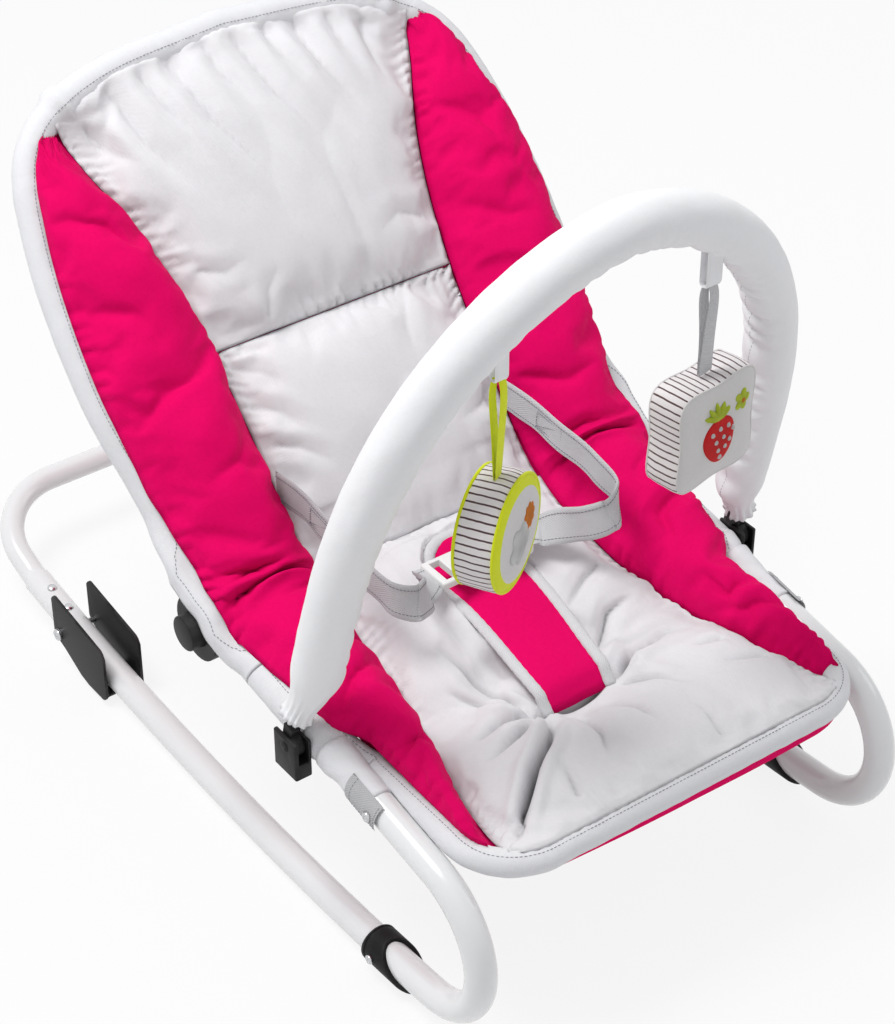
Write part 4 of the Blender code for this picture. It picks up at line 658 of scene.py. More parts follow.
def grown(name, source, tree, values):
    """The plain mesh that a node tree grows on a source mesh."""
    holder = bpy.data.objects.new(name + "_source", source)
    studio.collection.objects.link(holder)
    step = holder.modifiers.new("grown", "NODES")
    step.node_group = tree
    keys = {item.name: item.identifier for item in tree.interface.items_tree
            if item.item_type == "SOCKET" and item.in_out == "INPUT"}
    for socket, value in values.items():
        step[keys[socket]] = value
    bpy.context.view_layer.update()
    mesh = bpy.data.meshes.new_from_object(holder.evaluated_get(bpy.context.evaluated_depsgraph_get()))
    bpy.data.objects.remove(holder, do_unlink=True)
    return mesh


def stitched(name, rows, body, thread_used=None, pitch=0.0034, length=0.0026, thickness=0.0006):
    """Rows of stitches, each row a list of places on the cloth."""
    verts, edges = [], []
    for row in rows:
        first = len(verts)
        verts += [tuple(p) for p in row]
        edges += [(n, n + 1) for n in range(first, len(verts) - 1)]
    source = bpy.data.meshes.new(name + "_rows")
    source.from_pydata(verts, edges, [])
    mesh = grown(name, source, stitch_tree, {"Pitch": pitch, "Length": length, "Thickness": thickness,
                                             "Thread": thread_used or thread})
    return finished(name, mesh, body, thread, smooth=180)


stitched("seat_hem_seam", [seam_row], "rocker_frame")
stitched("backrest_hem_seam", [back_seam_row], "backrest")


# The sling: one sheet of pink polyester from the front rail under the pads, through the fold and
# up the back, sewn into the hems. It carries the pads and is shaped through the fold at the hinge.
def read(table, value):
    """A short table of (place, width) read as a smooth line."""
    table = sorted(table)
    places, widths = [p for p, w in table], [w for p, w in table]
    span = (places[-1] - places[0]) * 0.07
    return sum(np.interp(value + span * k, places, widths) for k in (-1.5, -0.75, 0, 0.75, 1.5)) / 5


SEAT_SEAM = [(0.020, 0.114), (-0.050, 0.117), (-0.120, 0.125), (-0.200, 0.144), (-0.272, 0.162)]
BACK_SEAM = [(0.010, 0.113), (0.100, 0.114), (0.196, 0.117), (0.290, 0.130), (0.350, 0.151), (0.405, 0.176)]
CORNER_X, CORNER_Y = 0.1302, -0.256
RAIL_X, RAIL_BEND = 0.1802, 0.050


def side_reach(y, inset_arm, inset_rail):
    """Half width of the seat out to a line inside the hem's centre."""
    if y < CORNER_Y:
        r = RAIL_BEND - inset_rail
        return CORNER_X + sqrt(max(r * r - min(CORNER_Y - y, r) ** 2, 0.0))
    return RAIL_X - inset_rail + (0.0198 + inset_rail - inset_arm) * eased(-0.146, -0.118, y)


def front_reach(x, inset_rail):
    r = RAIL_BEND - inset_rail
    return CORNER_Y - sqrt(max(r * r - max(abs(x) - CORNER_X, 0.0) ** 2, 0.0))


def sling_z(x, y):
    depth = sin(pi * min(max((y + 0.2954) / 0.3154, 0.0), 1.0))
    return seat_rail_z(y) - 0.026 * depth * (1 - min(abs(x) / 0.1834, 1.0) ** 2)


def back_reach(up, inset):
    """Half width of the backrest out to a line inside the tube's centre."""
    return np.interp(up, [p.y for p in half_line], [p.x for p in half_line]) - inset


top_line = sorted((p.x, p.y) for p in half_line if p.y > 0.34)


def back_top(x, inset):
    return np.interp(abs(x) * (1 + inset / 0.2), [a for a, b in top_line], [b for a, b in top_line]) - inset


# A place on the sling has a number s: 0 at the front edge, 1 where the fold starts, 2 where it
# ends and 3 at the top of the back.
FRONT_Y, FOLD_SEAT_Y, FOLD_UP, TOP_UP = -0.306, -0.014, 0.044, 0.446


def seat_s(y):
    return (y - FRONT_Y) / (FOLD_SEAT_Y - FRONT_Y)


def back_s(up):
    return 2 + (up - FOLD_UP) / (TOP_UP - FOLD_UP)


def on_sling(x, s):
    """The place on the sling and the direction that points out of it."""
    lean, sag = 0.0, 0.0
    if s <= 1:
        y = FRONT_Y + (FOLD_SEAT_Y - FRONT_Y) * s
        place = at(0, y, seat_rail_z(y))
        y = place.y + MIDDLE
        sag = seat_rail_z(y) - sling_z(x, y)
    elif s >= 2:
        place, lean = back_at(0, FOLD_UP + (TOP_UP - FOLD_UP) * (s - 2)), BACK_LEAN
    else:
        t = s - 1
        a, b, c = at(0, FOLD_SEAT_Y, seat_rail_z(FOLD_SEAT_Y)), at(0, 0.0275, 0.2046), back_at(0, FOLD_UP)
        place = a * (1 - t) ** 2 + b * 2 * t * (1 - t) + c * t * t
        lean = BACK_LEAN * t * t * (3 - 2 * t)
        sag = (seat_rail_z(FOLD_SEAT_Y) - sling_z(x, FOLD_SEAT_Y)) * (1 - t) ** 2
    return place + Vector((x, 0, -sag)), Vector((0, -sin(lean), cos(lean)))


def joined_sheets(upper, lower):
    """A closed form from an upper and a lower sheet that share their border."""
    upper, lower = np.asarray(upper, float), np.asarray(lower, float)
    rows, columns = upper.shape[:2]
    mesh = woven_mesh(upper)
    shape = bmesh.new()
    shape.from_mesh(mesh)
    shared = list(shape.verts)
    layer = shape.loops.layers.uv.active
    grid = {}
    for i in range(rows):
        for j in range(columns):
            on_rim = i in (0, rows - 1) or j in (0, columns - 1)
            grid[i, j] = shared[i * columns + j] if on_rim else shape.verts.new(lower[i, j])
    scale = np.linalg.norm(upper[rows // 2, 1] - upper[rows // 2, 0])
    for i in range(rows - 1):
        for j in range(columns - 1):
            corners = ((i, j), (i + 1, j), (i + 1, j + 1), (i, j + 1))
            made = shape.faces.new([grid[c] for c in corners])
            for loop, c in zip(made.loops, corners):
                loop[layer].uv = (c[1] * scale, c[0] * scale)
    return faced_out(shape, mesh)


def tinted(material, share, colour):
    """Lead a material's base colour towards another one, by a share."""
    tree = material.node_tree
    base = tree.nodes["Principled BSDF"].inputs["Base Color"]
    tree.links.new(blend_colour(tree, share, base.links[0].from_socket, colour), base)


pink_cloth = cloth_finish("pink_polyester", (0.87, 0.0010, 0.135), (0.66, 0.0008, 0.090), sheen=0.0,
                          crumple=0.14)
pink_tree = pink_cloth.node_tree
pink_tree.nodes["Principled BSDF"].inputs["Specular IOR Level"].default_value = 0.06
# Painted bounce light: for diffuse rays only, the pink is led towards a greyish pink, so that the cloth
# throws less pink light onto the grey pads beside it.
painted_bounce_ray = pink_tree.nodes.new("ShaderNodeLightPath").outputs["Is Diffuse Ray"]
tinted(pink_cloth, times(pink_tree, painted_bounce_ray, 0.7), (0.42, 0.34, 0.37))
SLING_ROWS, SLING_COLUMNS, SLING_THICK = 121, 61, 0.0015
sling_upper, sling_lower = [], []
for i in range(SLING_ROWS):
    s = 3 * i / (SLING_ROWS - 1)
    upper_row, lower_row = [], []
    for j in range(SLING_COLUMNS):
        across = 2 * j / (SLING_COLUMNS - 1) - 1
        if s <= 1:
            y = FRONT_Y + (FOLD_SEAT_Y - FRONT_Y) * s
            x = across * side_reach(max(y, CORNER_Y), 0.015, 0.006)
            front = front_reach(x, 0.006)
            place, out = on_sling(x, seat_s(front + (FOLD_SEAT_Y - front) * s))
        elif s < 2:
            place, out = on_sling(across * (0.185 if s < 1.3 else 0.186), s)
        else:
            up = FOLD_UP + (TOP_UP - FOLD_UP) * (s - 2)
            x = across * (back_reach(min(up, 0.39), 0.008) - 0.003 * eased(0.10, 0.05, up))
            top_share = (back_top(x, 0.006) - FOLD_UP) / (TOP_UP - FOLD_UP)
            place, out = on_sling(x, 2 + (s - 2) * top_share)
        billow = 0.0016 * noise.noise(place * 14.0) + 0.0009 * noise.noise(place * 40.0)
        drape = -0.004 * (1 - across * across) if s > 2 else -0.0012
        upper_row.append(place + out * (drape + billow - 0.0006))
        lower_row.append(place + out * (drape + billow - 0.0006 - SLING_THICK))
    sling_upper.append(upper_row)
    sling_lower.append(lower_row)
sling = finished("cover_sling", joined_sheets(sling_upper, sling_lower), None, pink_cloth,
                 ["seat_underlay", "back_underlay"], 180)


def bending(piece):
    """Bake a piece's placement into its mesh; the piece is sewn across the hinges."""
    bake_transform(piece)
    return piece


bending(sling)


# The pads: a shell of polyester over loose wadding, sewn down along every edge, so that the cloth
# draws up in puckers beside the seams. Each is blown up as cloth held at its seams.
def normals_of(sheet):
    normal = np.cross(np.gradient(sheet, axis=1), np.gradient(sheet, axis=0))
    return normal / np.maximum(np.linalg.norm(normal, axis=2, keepdims=True), 1e-9)


def softened(sheet, times_over):
    sheet = sheet.copy()
    for n in range(times_over):
        inner = (sheet[:-2, 1:-1] + sheet[2:, 1:-1] + sheet[1:-1, :-2] + sheet[1:-1, 2:]) / 4
        sheet[1:-1, 1:-1] += (inner - sheet[1:-1, 1:-1]) * 0.5
    return sheet


def doubled(sheet):
    """The same sheet with a point between every two, on a smooth curve."""
    for axis in (0, 1):
        sheet = np.moveaxis(sheet, axis, 0)
        padded_sheet = np.concatenate([2 * sheet[:1] - sheet[1:2], sheet, 2 * sheet[-1:] - sheet[-2:-1]])
        between = (9 * (sheet[:-1] + sheet[1:]) - padded_sheet[:-3] - padded_sheet[3:]) / 16
        wide = np.empty((2 * len(sheet) - 1,) + sheet.shape[1:])
        wide[0::2], wide[1::2] = sheet, between
        sheet = np.moveaxis(wide, 0, axis)
    return sheet


BLOWN_FRAMES = 20


def blown(name, sheet, pressure, growth, cap):
    """Cloth longer than its place, held at the seams and blown up from below."""
    rows, columns = sheet.shape[:2]
    faces = [(i * columns + j, (i + 1) * columns + j, (i + 1) * columns + j + 1, i * columns + j + 1)
             for i in range(rows - 1) for j in range(columns - 1)]
    if normals_of(sheet)[rows // 2, columns // 2, 2] > 0:
        faces = [f[::-1] for f in faces]
    mesh = bpy.data.meshes.new(name + "_blown")
    mesh.from_pydata([tuple(p) for p in sheet.reshape(-1, 3)], [], faces)
    up = sum((p.normal for p in mesh.polygons), Vector())
    if up.z < 0:
        mesh.flip_normals()
    holder = bpy.data.objects.new(name + "_blown", mesh)
    studio.collection.objects.link(holder)
    held = holder.vertex_groups.new(name="seams")
    rim = [i * columns + j for i in range(rows) for j in range(columns)
           if i in (0, rows - 1) or j in (0, columns - 1)]
    held.add(rim, 1.0, "REPLACE")
    cloth = holder.modifiers.new("cloth", "CLOTH")
    for setting, value in {
            "quality": 5, "mass": 0.2, "tension_stiffness": 18, "compression_stiffness": 18,
            "shear_stiffness": 6, "bending_stiffness": 0.8, "air_damping": 2,
            "vertex_group_mass": "seams", "pin_stiffness": 1, "shrink_min": -growth,
            "use_pressure": True, "uniform_pressure_force": pressure}.items():
        setattr(cloth.settings, setting, value)
    cloth.settings.effector_weights.gravity = 0
    cloth.collision_settings.use_collision = False
    cloth.collision_settings.use_self_collision = False
    cloth.point_cache.frame_start, cloth.point_cache.frame_end = 1, BLOWN_FRAMES
    for number in range(1, BLOWN_FRAMES + 1):
        studio.frame_set(number)
    body = holder.evaluated_get(bpy.context.evaluated_depsgraph_get()).to_mesh()
    risen = np.empty(len(body.vertices) * 3)
    body.vertices.foreach_get("co", risen)
    bpy.data.objects.remove(holder, do_unlink=True)
    studio.frame_set(1)
    move = risen.reshape(sheet.shape) - sheet
    length = np.linalg.norm(move, axis=2, keepdims=True)
    return sheet + move * np.minimum(1.0, cap * np.tanh(length / cap) / np.maximum(length, 1e-9))


def grooves(x, y, lines):
    """How deep creased lines cut at each place: (points, depth, width, where it is deepest)."""
    cut = np.zeros_like(x)
    for points, depth, width, *rest in lines:
        points = np.array(points, float)
        head = rest[0] if rest else 0.45
        lengths = run_lengths(points)
        nearest, best = np.full(x.shape, 1e9), np.zeros_like(x)
        for (a, b, start, end) in zip(points, points[1:], lengths, lengths[1:]):
            way = b - a
            t = np.clip(((x - a[0]) * way[0] + (y - a[1]) * way[1]) / (way @ way), 0, 1)
            far = np.hypot(x - a[0] - t * way[0], y - a[1] - t * way[1])
            closer = far < nearest
            nearest = np.where(closer, far, nearest)
            best = np.where(closer, (start + t * (end - start)) / lengths[-1], best)
        fade = np.where(best < head, 0.25 + 0.75 * best / head, (1 - best) / (1 - head))
        fade = np.sin(pi / 2 * np.clip(fade, 0, 1)) ** 1.3
        cut += depth * fade * np.exp(-nearest / width)
        cut -= 0.40 * depth * fade * np.exp(-((nearest - 2.6 * width) / (1.3 * width)) ** 2)
    return cut


def noisy(places, size, seed, stretch=(1, 1, 1), turn=0.0):
    """Smooth noise from -1 to 1 over an array of places, drawn out along one direction."""
    c, s = cos(turn), sin(turn)
    values = [noise.noise(Vector(((p[0] * c + p[1] * s) * stretch[0], (p[1] * c - p[0] * s) * stretch[1],
                                  p[2] * stretch[2])) * (1 / size) + Vector((seed, seed * 1.7, 0)))
              for p in places.reshape(-1, 3)]
    return np.array(values).reshape(places.shape[:2])


def outward(sheet):
    out = normals_of(sheet)
    return -out if out[..., 2].mean() < 0 else out


def lifted(sheet, amount):
    return sheet + outward(sheet) * amount[..., None]


def run_over(sheet, axis):
    """How far each place lies from the sheet's first row or column, along the cloth."""
    steps = np.linalg.norm(np.diff(sheet, axis=axis), axis=2)
    start = np.zeros_like(np.take(steps, [0], axis))
    return np.concatenate([start, np.cumsum(steps, axis=axis)], axis=axis)


def puckered(sheet, sides, depth, reach, pitch=0.0105, seed=0.0):
    """Draw the cloth in beside its seams. sides gives a strength for first row, last row, first
    column and last column."""
    out = outward(sheet)
    along, across = run_over(sheet, 0), run_over(sheet, 1)
    moved = sheet.copy()
    for strength, away, run in zip(sides, (along, along[-1:] - along, across, across[:, -1:] - across),
                                   (across, across, along, along)):
        if not strength:
            continue
        phase = run / pitch * 2 * pi + 1.9 * np.sin(run * 61 + seed) + 1.3 * np.sin(run * 143 + 2 * seed)
        drawn = np.abs(np.sin(phase / 2)) ** 0.7
        size = reach * (1 + 0.55 * np.sin(run * 97 + seed * 3) * np.sin(run * 41 + seed))
        fade = np.exp(-(away / size) ** 2) * np.minimum(away / 0.0015, 1.0)
        cut = depth * strength * (1 - drawn) * fade * (1.1 + 0.9 * np.sin(run * 29 + seed * 5))
        moved -= out * cut[..., None]
    return moved


def hold_edges(amount, rows=6):
    """Let an amount die out over the last rows beside the sheet's edges, which are sewn."""
    from_edge = [np.minimum(np.arange(n), np.arange(n)[::-1]) for n in amount.shape]
    near = np.minimum(from_edge[0][:, None], from_edge[1][None, :]) / rows
    return amount * np.clip(near, 0, 1)


grey_cloth = cloth_finish("pale_grey_polyester", (0.845, 0.83, 0.85), (0.73, 0.72, 0.74), crumple=0.18)
# Painted shade: the grey cloth is darkened along its sharp folds, led by the 'fold' value that each cushion
# marks on its upper sheet.
painted_fold_shade = add_node(grey_cloth.node_tree, "ShaderNodeAttribute", {"attribute_name": "fold"})
tinted(grey_cloth, painted_fold_shade.outputs["Fac"], (0.10, 0.095, 0.105))


# The crotch pad lies on the seat and presses it down, so its outline and underside are set first.
def seat_ground(x, y):
    front = front_reach(x, 0.0106)
    seam = np.interp(y, *zip(*SEAT_SEAM[::-1])) - 0.0005
    u, v = 0.5 + 0.5 * x / seam, (0.020 - y) / (0.020 - front)
    full = max(sin(pi * min(max(u, 0), 1)), 0.0) ** 0.4 * max(sin(pi * min(max(v, 0), 1)), 0.0) ** 0.4
    dimple = exp(-((u - 0.5) / 0.16) ** 2 - ((v - 0.60) / 0.09) ** 2)
    return sling_z(x, y) + 0.006 + 0.030 * full - 0.012 * dimple


ROUND_Y, ROUND_R, CROTCH_FRONT = -0.037, 0.041, -0.181


def crotch_half(y):
    """Half width of the crotch pad: slightly tapered, with a round rear end."""
    if y < ROUND_Y:
        return 0.0345 + 0.0065 * (y + 0.178) / 0.141
    return sqrt(max(ROUND_R ** 2 - (y - ROUND_Y) ** 2, 0.0))


def crotch_base(y):
    """The underside of the crotch pad, which lies on the seat and is drawn down at its front."""
    drawn = 0.017 * min(max((-0.070 - y) / 0.112, 0.0), 1.15) ** 1.6
    return seat_ground(0, -0.07) - 0.002 + 0.011 * eased(-0.030, 0.002, y) - drawn


def pressed_down(sheet, around):
    """Push the seat down under the crotch pad, whose front end is pulled a little forward and to
    the left, and round the pad too."""
    for point in sheet.reshape(-1, 3):
        share = eased(-0.050, -0.186, point[1] + MIDDLE)
        x, y = point[0] + 0.011 * share, point[1] + MIDDLE + 0.009 * share
        beyond = hypot(max(abs(x) - crotch_half(min(y, 0.0035)), 0.0), max(-0.180 - y, 0.0))
        if y > ROUND_Y:
            beyond = max(hypot(x, y - ROUND_Y) - ROUND_R, 0.0)
        if around or beyond < 0.001:
            point[2] = min(point[2], crotch_base(y) - 0.0004 + 1.1 * beyond + 8.0 * beyond ** 2)


# Seat pad: pale grey, between the bolsters, drawn down hard where the crotch strap is sewn
# through it, with one long crease from there to the front hem.
def seat_pad_place(u, v, upper):
    s = 1.5 - 0.5 * v / 0.13 if v < 0.13 else 1 - (v - 0.13) / 0.87
    if s >= 1:
        x = (2 * u - 1) * (read(SEAT_SEAM, FOLD_SEAT_Y) - 0.0004)
    else:
        y = FOLD_SEAT_Y - 0.290 * (1 - s)
        for settle in range(4):
            x = (2 * u - 1) * (read(SEAT_SEAM, max(y, -0.29)) - 0.0004)
            y = front_reach(x, -0.0015) + (FOLD_SEAT_Y - front_reach(x, -0.0015)) * s
        s = seat_s(y)
    ground, out = on_sling(x, s)
    rim = 0.0035 + 0.0070 * eased(0.90, 1.0, v)
    full = max(sin(pi * u), 0.0) ** 0.42 * max(sin(pi * v), 0.0) ** 0.42
    dimple = 0.0215 * exp(-((u - 0.46) / 0.17) ** 2 - ((v - 0.645) / 0.095) ** 2)
    height = rim + (0.034 - rim) * full - dimple * min(full * 1.2, 1.0)
    return ground + out * (height if upper else 0.0006 + (rim - 0.0006) * eased(0.93, 1.0, v))


def surface_rows(rule, rows, columns, upper):
    return np.array([[rule(j / (columns - 1), i / (rows - 1), upper) for j in range(columns)]
                     for i in range(rows)])


sheet = surface_rows(seat_pad_place, 88, 82, True)
sheet = blown("seat_pad_cloth", sheet, 3.0, 0.045, 0.007)
sheet = doubled(softened(sheet, 1))
pressed_down(sheet, True)
sheet = softened(sheet, 2)
FOLD_DEPTH = 1.35
rays = [([(-0.048, -0.186), (-0.050, -0.204), (-0.068, -0.222), (-0.098, -0.243), (-0.122, -0.264),
          (-0.146, -0.287)], 0.0105, 0.0040, 0.35),
        ([(-0.056, -0.210), (-0.074, -0.226), (-0.098, -0.243), (-0.122, -0.264), (-0.152, -0.292)],
         0.0085, 0.0034, 0.6),
        ([(-0.052, -0.182), (-0.066, -0.138), (-0.080, -0.090)], 0.0060, 0.0055, 0.3),
        ([(-0.054, -0.183), (-0.072, -0.158), (-0.098, -0.126)], 0.0062, 0.0042, 0.15),
        ([(-0.056, -0.187), (-0.084, -0.182), (-0.115, -0.187)], 0.0070, 0.0042, 0.15),
        ([(-0.056, -0.192), (-0.084, -0.202), (-0.124, -0.214)], 0.0058, 0.0040, 0.15),
        ([(0.030, -0.186), (0.056, -0.170), (0.096, -0.164), (0.122, -0.170)], 0.0085, 0.0050, 0.15),
        ([(0.026, -0.196), (0.048, -0.212), (0.064, -0.240)], 0.0052, 0.0045, 0.15),
        ([(-0.022, -0.204), (-0.030, -0.238), (-0.046, -0.268)], 0.0050, 0.0050, 0.15),
        ([(0.004, -0.204), (0.012, -0.232), (0.010, -0.260)], 0.0040, 0.0050, 0.15),
        ([(-0.078, -0.252), (-0.090, -0.288)], 0.0028, 0.0042, 0.8),
        ([(0.048, -0.262), (0.044, -0.298)], 0.0024, 0.0045, 0.8),
        ([(0.038, -0.150), (0.068, -0.128), (0.106, -0.118)], 0.0045, 0.0045, 0.2),
        ([(0.042, -0.110), (0.072, -0.092), (0.106, -0.078)], 0.0035, 0.0048, 0.6),
        ([(0.100, -0.200), (0.124, -0.206)], 0.0030, 0.0036, 0.8),
        ([(0.104, -0.232), (0.136, -0.244)], 0.0026, 0.0036, 0.8)]
slits = [(line[0], line[1] * 0.75, 0.0018, *line[3:]) for line in rays]
slits.append(([(-0.056, -0.185), (-0.044, -0.188), (-0.010, -0.189), (0.026, -0.185), (0.032, -0.178)],
              0.0070, 0.0024))
on_seat = (sheet[..., 0], sheet[..., 1] + MIDDLE)
slits = grooves(*on_seat, slits)
amount = -FOLD_DEPTH * grooves(*on_seat, rays) - slits
amount += 0.0016 * noisy(sheet, 0.045, 2.0, (1.0, 0.45, 1))
amount += 0.0008 * noisy(sheet, 0.018, 5.0, (1, 0.6, 1), 0.6)
sheet = puckered(lifted(sheet, hold_edges(amount)), (0.3, 0.3, 1.2, 1.2), 0.0026, 0.014, seed=1.0)
pressed_down(sheet, False)


def cushion(name, sheet, rule, shade, node):
    """Close a pad with its underside and mark the shade of its sharp folds on the upper sheet."""
    mesh = joined_sheets(sheet, surface_rows(rule, *sheet.shape[:2], False))
    dark = np.zeros(len(mesh.vertices))
    dark[:shade.size] = np.clip(shade, 0, 1).ravel()
    mesh.attributes.new("fold", "FLOAT", "POINT")
    mesh.attributes["fold"].data.foreach_set("value", dark)
    piece = finished(name, mesh, "backrest" if node == "back_pad_upper" else None, grey_cloth, [node],
                     180)
    if node != "back_pad_upper":
        bending(piece)


# The slits' depth is painted as shade along the seat's creases.
cushion("seat_pad_cushion", sheet, seat_pad_place, slits / 0.0085, "seat_pad")


# Back pads: two pale grey panels with a sewn line across between them.
CROSS_UP = 0.196


def back_lower_place(u, v, upper):
    up = 0.022 + (CROSS_UP - 0.0005 - 0.022) * v
    s = 1.5 + 0.5 * v / 0.13 if v < 0.13 else back_s(up)
    x = (2 * u - 1) * (read(BACK_SEAM, up) - 0.0004)
    full = max(sin(pi * u), 0.0) ** 0.45 * max(sin(pi * v), 0.0) ** 0.45
    ground, out = on_sling(x, s)
    return ground + out * (0.0030 + 0.019 * full if upper else 0.0004)


def back_upper_place(u, v, upper):
    first = CROSS_UP + 0.0005
    up = first + (TOP_UP - first) * v
    for settle in range(4):
        x = (2 * u - 1) * (read(BACK_SEAM, min(up, 0.42)) - 0.0004)
        up = first + (back_top(x, 0.0035) - first) * v
    rim = 0.0030 + 0.0086 * eased(0.90, 1.0, v)
    full = max(sin(pi * u), 0.0) ** 0.42 * max(sin(pi * v), 0.0) ** (0.42 if v < 0.5 else 0.70)
    height = rim + (0.026 - rim) * full if upper else 0.0004 + (rim - 0.0004) * eased(0.94, 1.0, v)
    return back_at(x, up, height)


for name, node, rule, size, seed, sides in (
        ("back_pad_lower_cushion", "back_pad_lower", back_lower_place, (46, 52), 3.0, (0.4, 1.2, 1.0, 1.0)),
        ("back_pad_upper_cushion", "back_pad_upper", back_upper_place, (58, 64), 7.0, (1.2, 0.35, 1.0, 1.0))):
    sheet = blown(name, surface_rows(rule, *size, True), 3.0, 0.045, 0.006)
    sheet = doubled(softened(sheet, 1))
    long_folds = noisy(sheet, 0.050, seed, (1.0, 0.34, 0.34), 0.38)
    short_folds = noisy(sheet, 0.020, seed + 1, (1.0, 0.5, 0.5), 0.5)
    amount = -0.0022 * np.maximum(0.30 - np.abs(long_folds), 0) / 0.30 + 0.0010 * short_folds
    amount += 0.0014 * noisy(sheet, 0.09, seed + 2)
    if node == "back_pad_upper":
        folds = [([(-0.148, 0.402), (-0.134, 0.372), (-0.112, 0.350)], 0.0034, 0.0048, 0.15),
                 ([(-0.118, 0.420), (-0.108, 0.372), (-0.082, 0.318)], 0.0048, 0.0055, 0.2),
                 ([(-0.088, 0.430), (-0.078, 0.392), (-0.060, 0.352)], 0.0036, 0.0045, 0.15),
                 ([(-0.060, 0.436), (-0.046, 0.372), (-0.012, 0.292)], 0.0056, 0.0060, 0.2),
                 ([(-0.026, 0.440), (-0.020, 0.404), (-0.006, 0.372)], 0.0036, 0.0042, 0.15),
                 ([(0.002, 0.441), (0.016, 0.376), (0.044, 0.312)], 0.0052, 0.0056, 0.2),
                 ([(0.034, 0.440), (0.038, 0.404), (0.052, 0.376)], 0.0034, 0.0042, 0.15),
                 ([(0.062, 0.437), (0.070, 0.386), (0.090, 0.330)], 0.0046, 0.0052, 0.2),
                 ([(0.094, 0.430), (0.098, 0.396), (0.110, 0.366)], 0.0034, 0.0044, 0.15),
                 ([(0.126, 0.416), (0.122, 0.380), (0.126, 0.350)], 0.0036, 0.0048, 0.15),
                 ([(-0.112, 0.262), (-0.088, 0.252), (-0.064, 0.258)], 0.0026, 0.0050, 0.1),
                 ([(0.110, 0.240), (0.080, 0.250), (0.052, 0.238)], 0.0024, 0.0055, 0.1),
                 ([(-0.064, 0.204), (-0.058, 0.226), (-0.040, 0.246)], 0.0022, 0.0048, 0.1)]
    else:
        folds = [([(-0.112, 0.150), (-0.088, 0.132), (-0.070, 0.104)], 0.0036, 0.0050, 0.15),
                 ([(-0.112, 0.112), (-0.086, 0.100), (-0.060, 0.076)], 0.0034, 0.0048, 0.15),
                 ([(-0.110, 0.180), (-0.090, 0.170), (-0.072, 0.150)], 0.0024, 0.0044, 0.15),
                 ([(0.112, 0.140), (0.086, 0.120), (0.066, 0.092)], 0.0036, 0.0050, 0.15),
                 ([(0.112, 0.090), (0.084, 0.076), (0.056, 0.070)], 0.0032, 0.0048, 0.15),
                 ([(0.060, 0.190), (0.046, 0.160), (0.040, 0.128)], 0.0026, 0.0060, 0.2)]
    up_back = (sheet - np.array(HINGE)) @ np.array(back_way)
    amount -= FOLD_DEPTH * grooves(sheet[..., 0], up_back, folds)
    # Painted shade along the back pads' creases, kept faint.
    shade = grooves(sheet[..., 0], up_back, [(line[0], 1.0, 0.0022, *line[3:]) for line in folds])
    sheet = puckered(lifted(sheet, hold_edges(amount)), sides, 0.0023, 0.013, seed=seed)
    cushion(name, sheet, rule, 0.16 * shade, node)
stitched("cross_seam", [[back_at(x, CROSS_UP, 0.0034) for x in np.linspace(-0.113, 0.113, 60)]], "backrest",
         pitch=0.0032, length=0.0028)


# Bolsters: one long pink cushion on each side, from the front corner over the fold to the top of
# the back. It bulges a little over the hem, most where it passes the hinge, and creases deeply
# where the backrest rises.
BULGE = [(0.0, 0.0), (0.235, 0.0), (0.291, 0.0095), (0.325, 0.0125), (0.362, 0.0255), (0.490, 0.0245),
         (0.538, 0.0150), (0.566, 0.0090), (0.62, 0.0068), (0.76, 0.0050), (0.88, 0.0030), (0.955, 0.0),
         (1.0, 0.0)]
COVER_LEAN = [55, 60, 70, 80, 90, 100, 166, 170]
COVER_REACH = [0, 0.0580, 0.0520, 0.0458, 0.0400, 0.0366, 0.0366, 0]


def hinge_cover(place):
    """How far from the hinge's axis the hem's top lies on the way from the arm to the back."""
    lean = degrees(atan2(place[2] - HINGE.z, place[1] - HINGE.y))
    return np.interp(lean, COVER_LEAN, COVER_REACH)


def over_hem(x, s):
    """How high above the sling a place must lie to clear the sewn hem below it."""
    ground, out = on_sling(x, s)
    for step in range(120):
        height = 0.060 - 0.0005 * step
        place = ground + out * height
        y, from_hinge = place.y + MIDDLE, place - HINGE
        up, off = from_hinge.dot(back_way), from_hinge.dot(back_out)
        opening = np.interp(up, [0.040, 0.050, 0.072, 0.100], [0.0196, 0.0190, 0.0162, 0.0144])
        if (y < -0.005 and hypot(x - HALF_TRACK, place.z - arm_z(y)) < 0.0180
                or up > 0.050 and hypot(x - back_reach(up, 0), off) < 0.0144
                or 0.040 < up < 0.100 and off < opening
                or x > 0.184 and hypot(from_hinge.y, from_hinge.z) < hinge_cover(place)):
            return height
    return 0.0


SEAT_SHARE, FOLD_SHARE = 0.36, 0.50


def near_fold(v):
    return exp(-((v - 0.43) / 0.06) ** 2)


def bolster_across(v):
    """v runs 0 to 1 from the front tip to the top tip. Gives the inner and the outer edge, the place
    along the sling and the height of the sewn edge."""
    if v < SEAT_SHARE:
        y = -0.281 + (FOLD_SEAT_Y + 0.281) * v / SEAT_SHARE
        s = seat_s(y)
        inner, outer = read(SEAT_SEAM, y), side_reach(y, 0.0065, 0.0020)
    elif v < FOLD_SHARE:
        s = 1 + (v - SEAT_SHARE) / (FOLD_SHARE - SEAT_SHARE)
        t = s - 1
        inner = 0.1145
        outer = side_reach(FOLD_SEAT_Y, 0.0065, 0.002) * (1 - t) + back_reach(FOLD_UP, 0.0040) * t
    else:
        up = FOLD_UP + (0.410 - FOLD_UP) * (v - FOLD_SHARE) / (1 - FOLD_SHARE)
        s = back_s(up)
        inner, outer = read(BACK_SEAM, up), back_reach(up, 0.0040)
    edge = (0.0152 if v < SEAT_SHARE else 0.0120) + 0.012 * near_fold(v)
    return min(inner + 0.0004, outer - 0.0015), outer + read(BULGE, v), s, edge


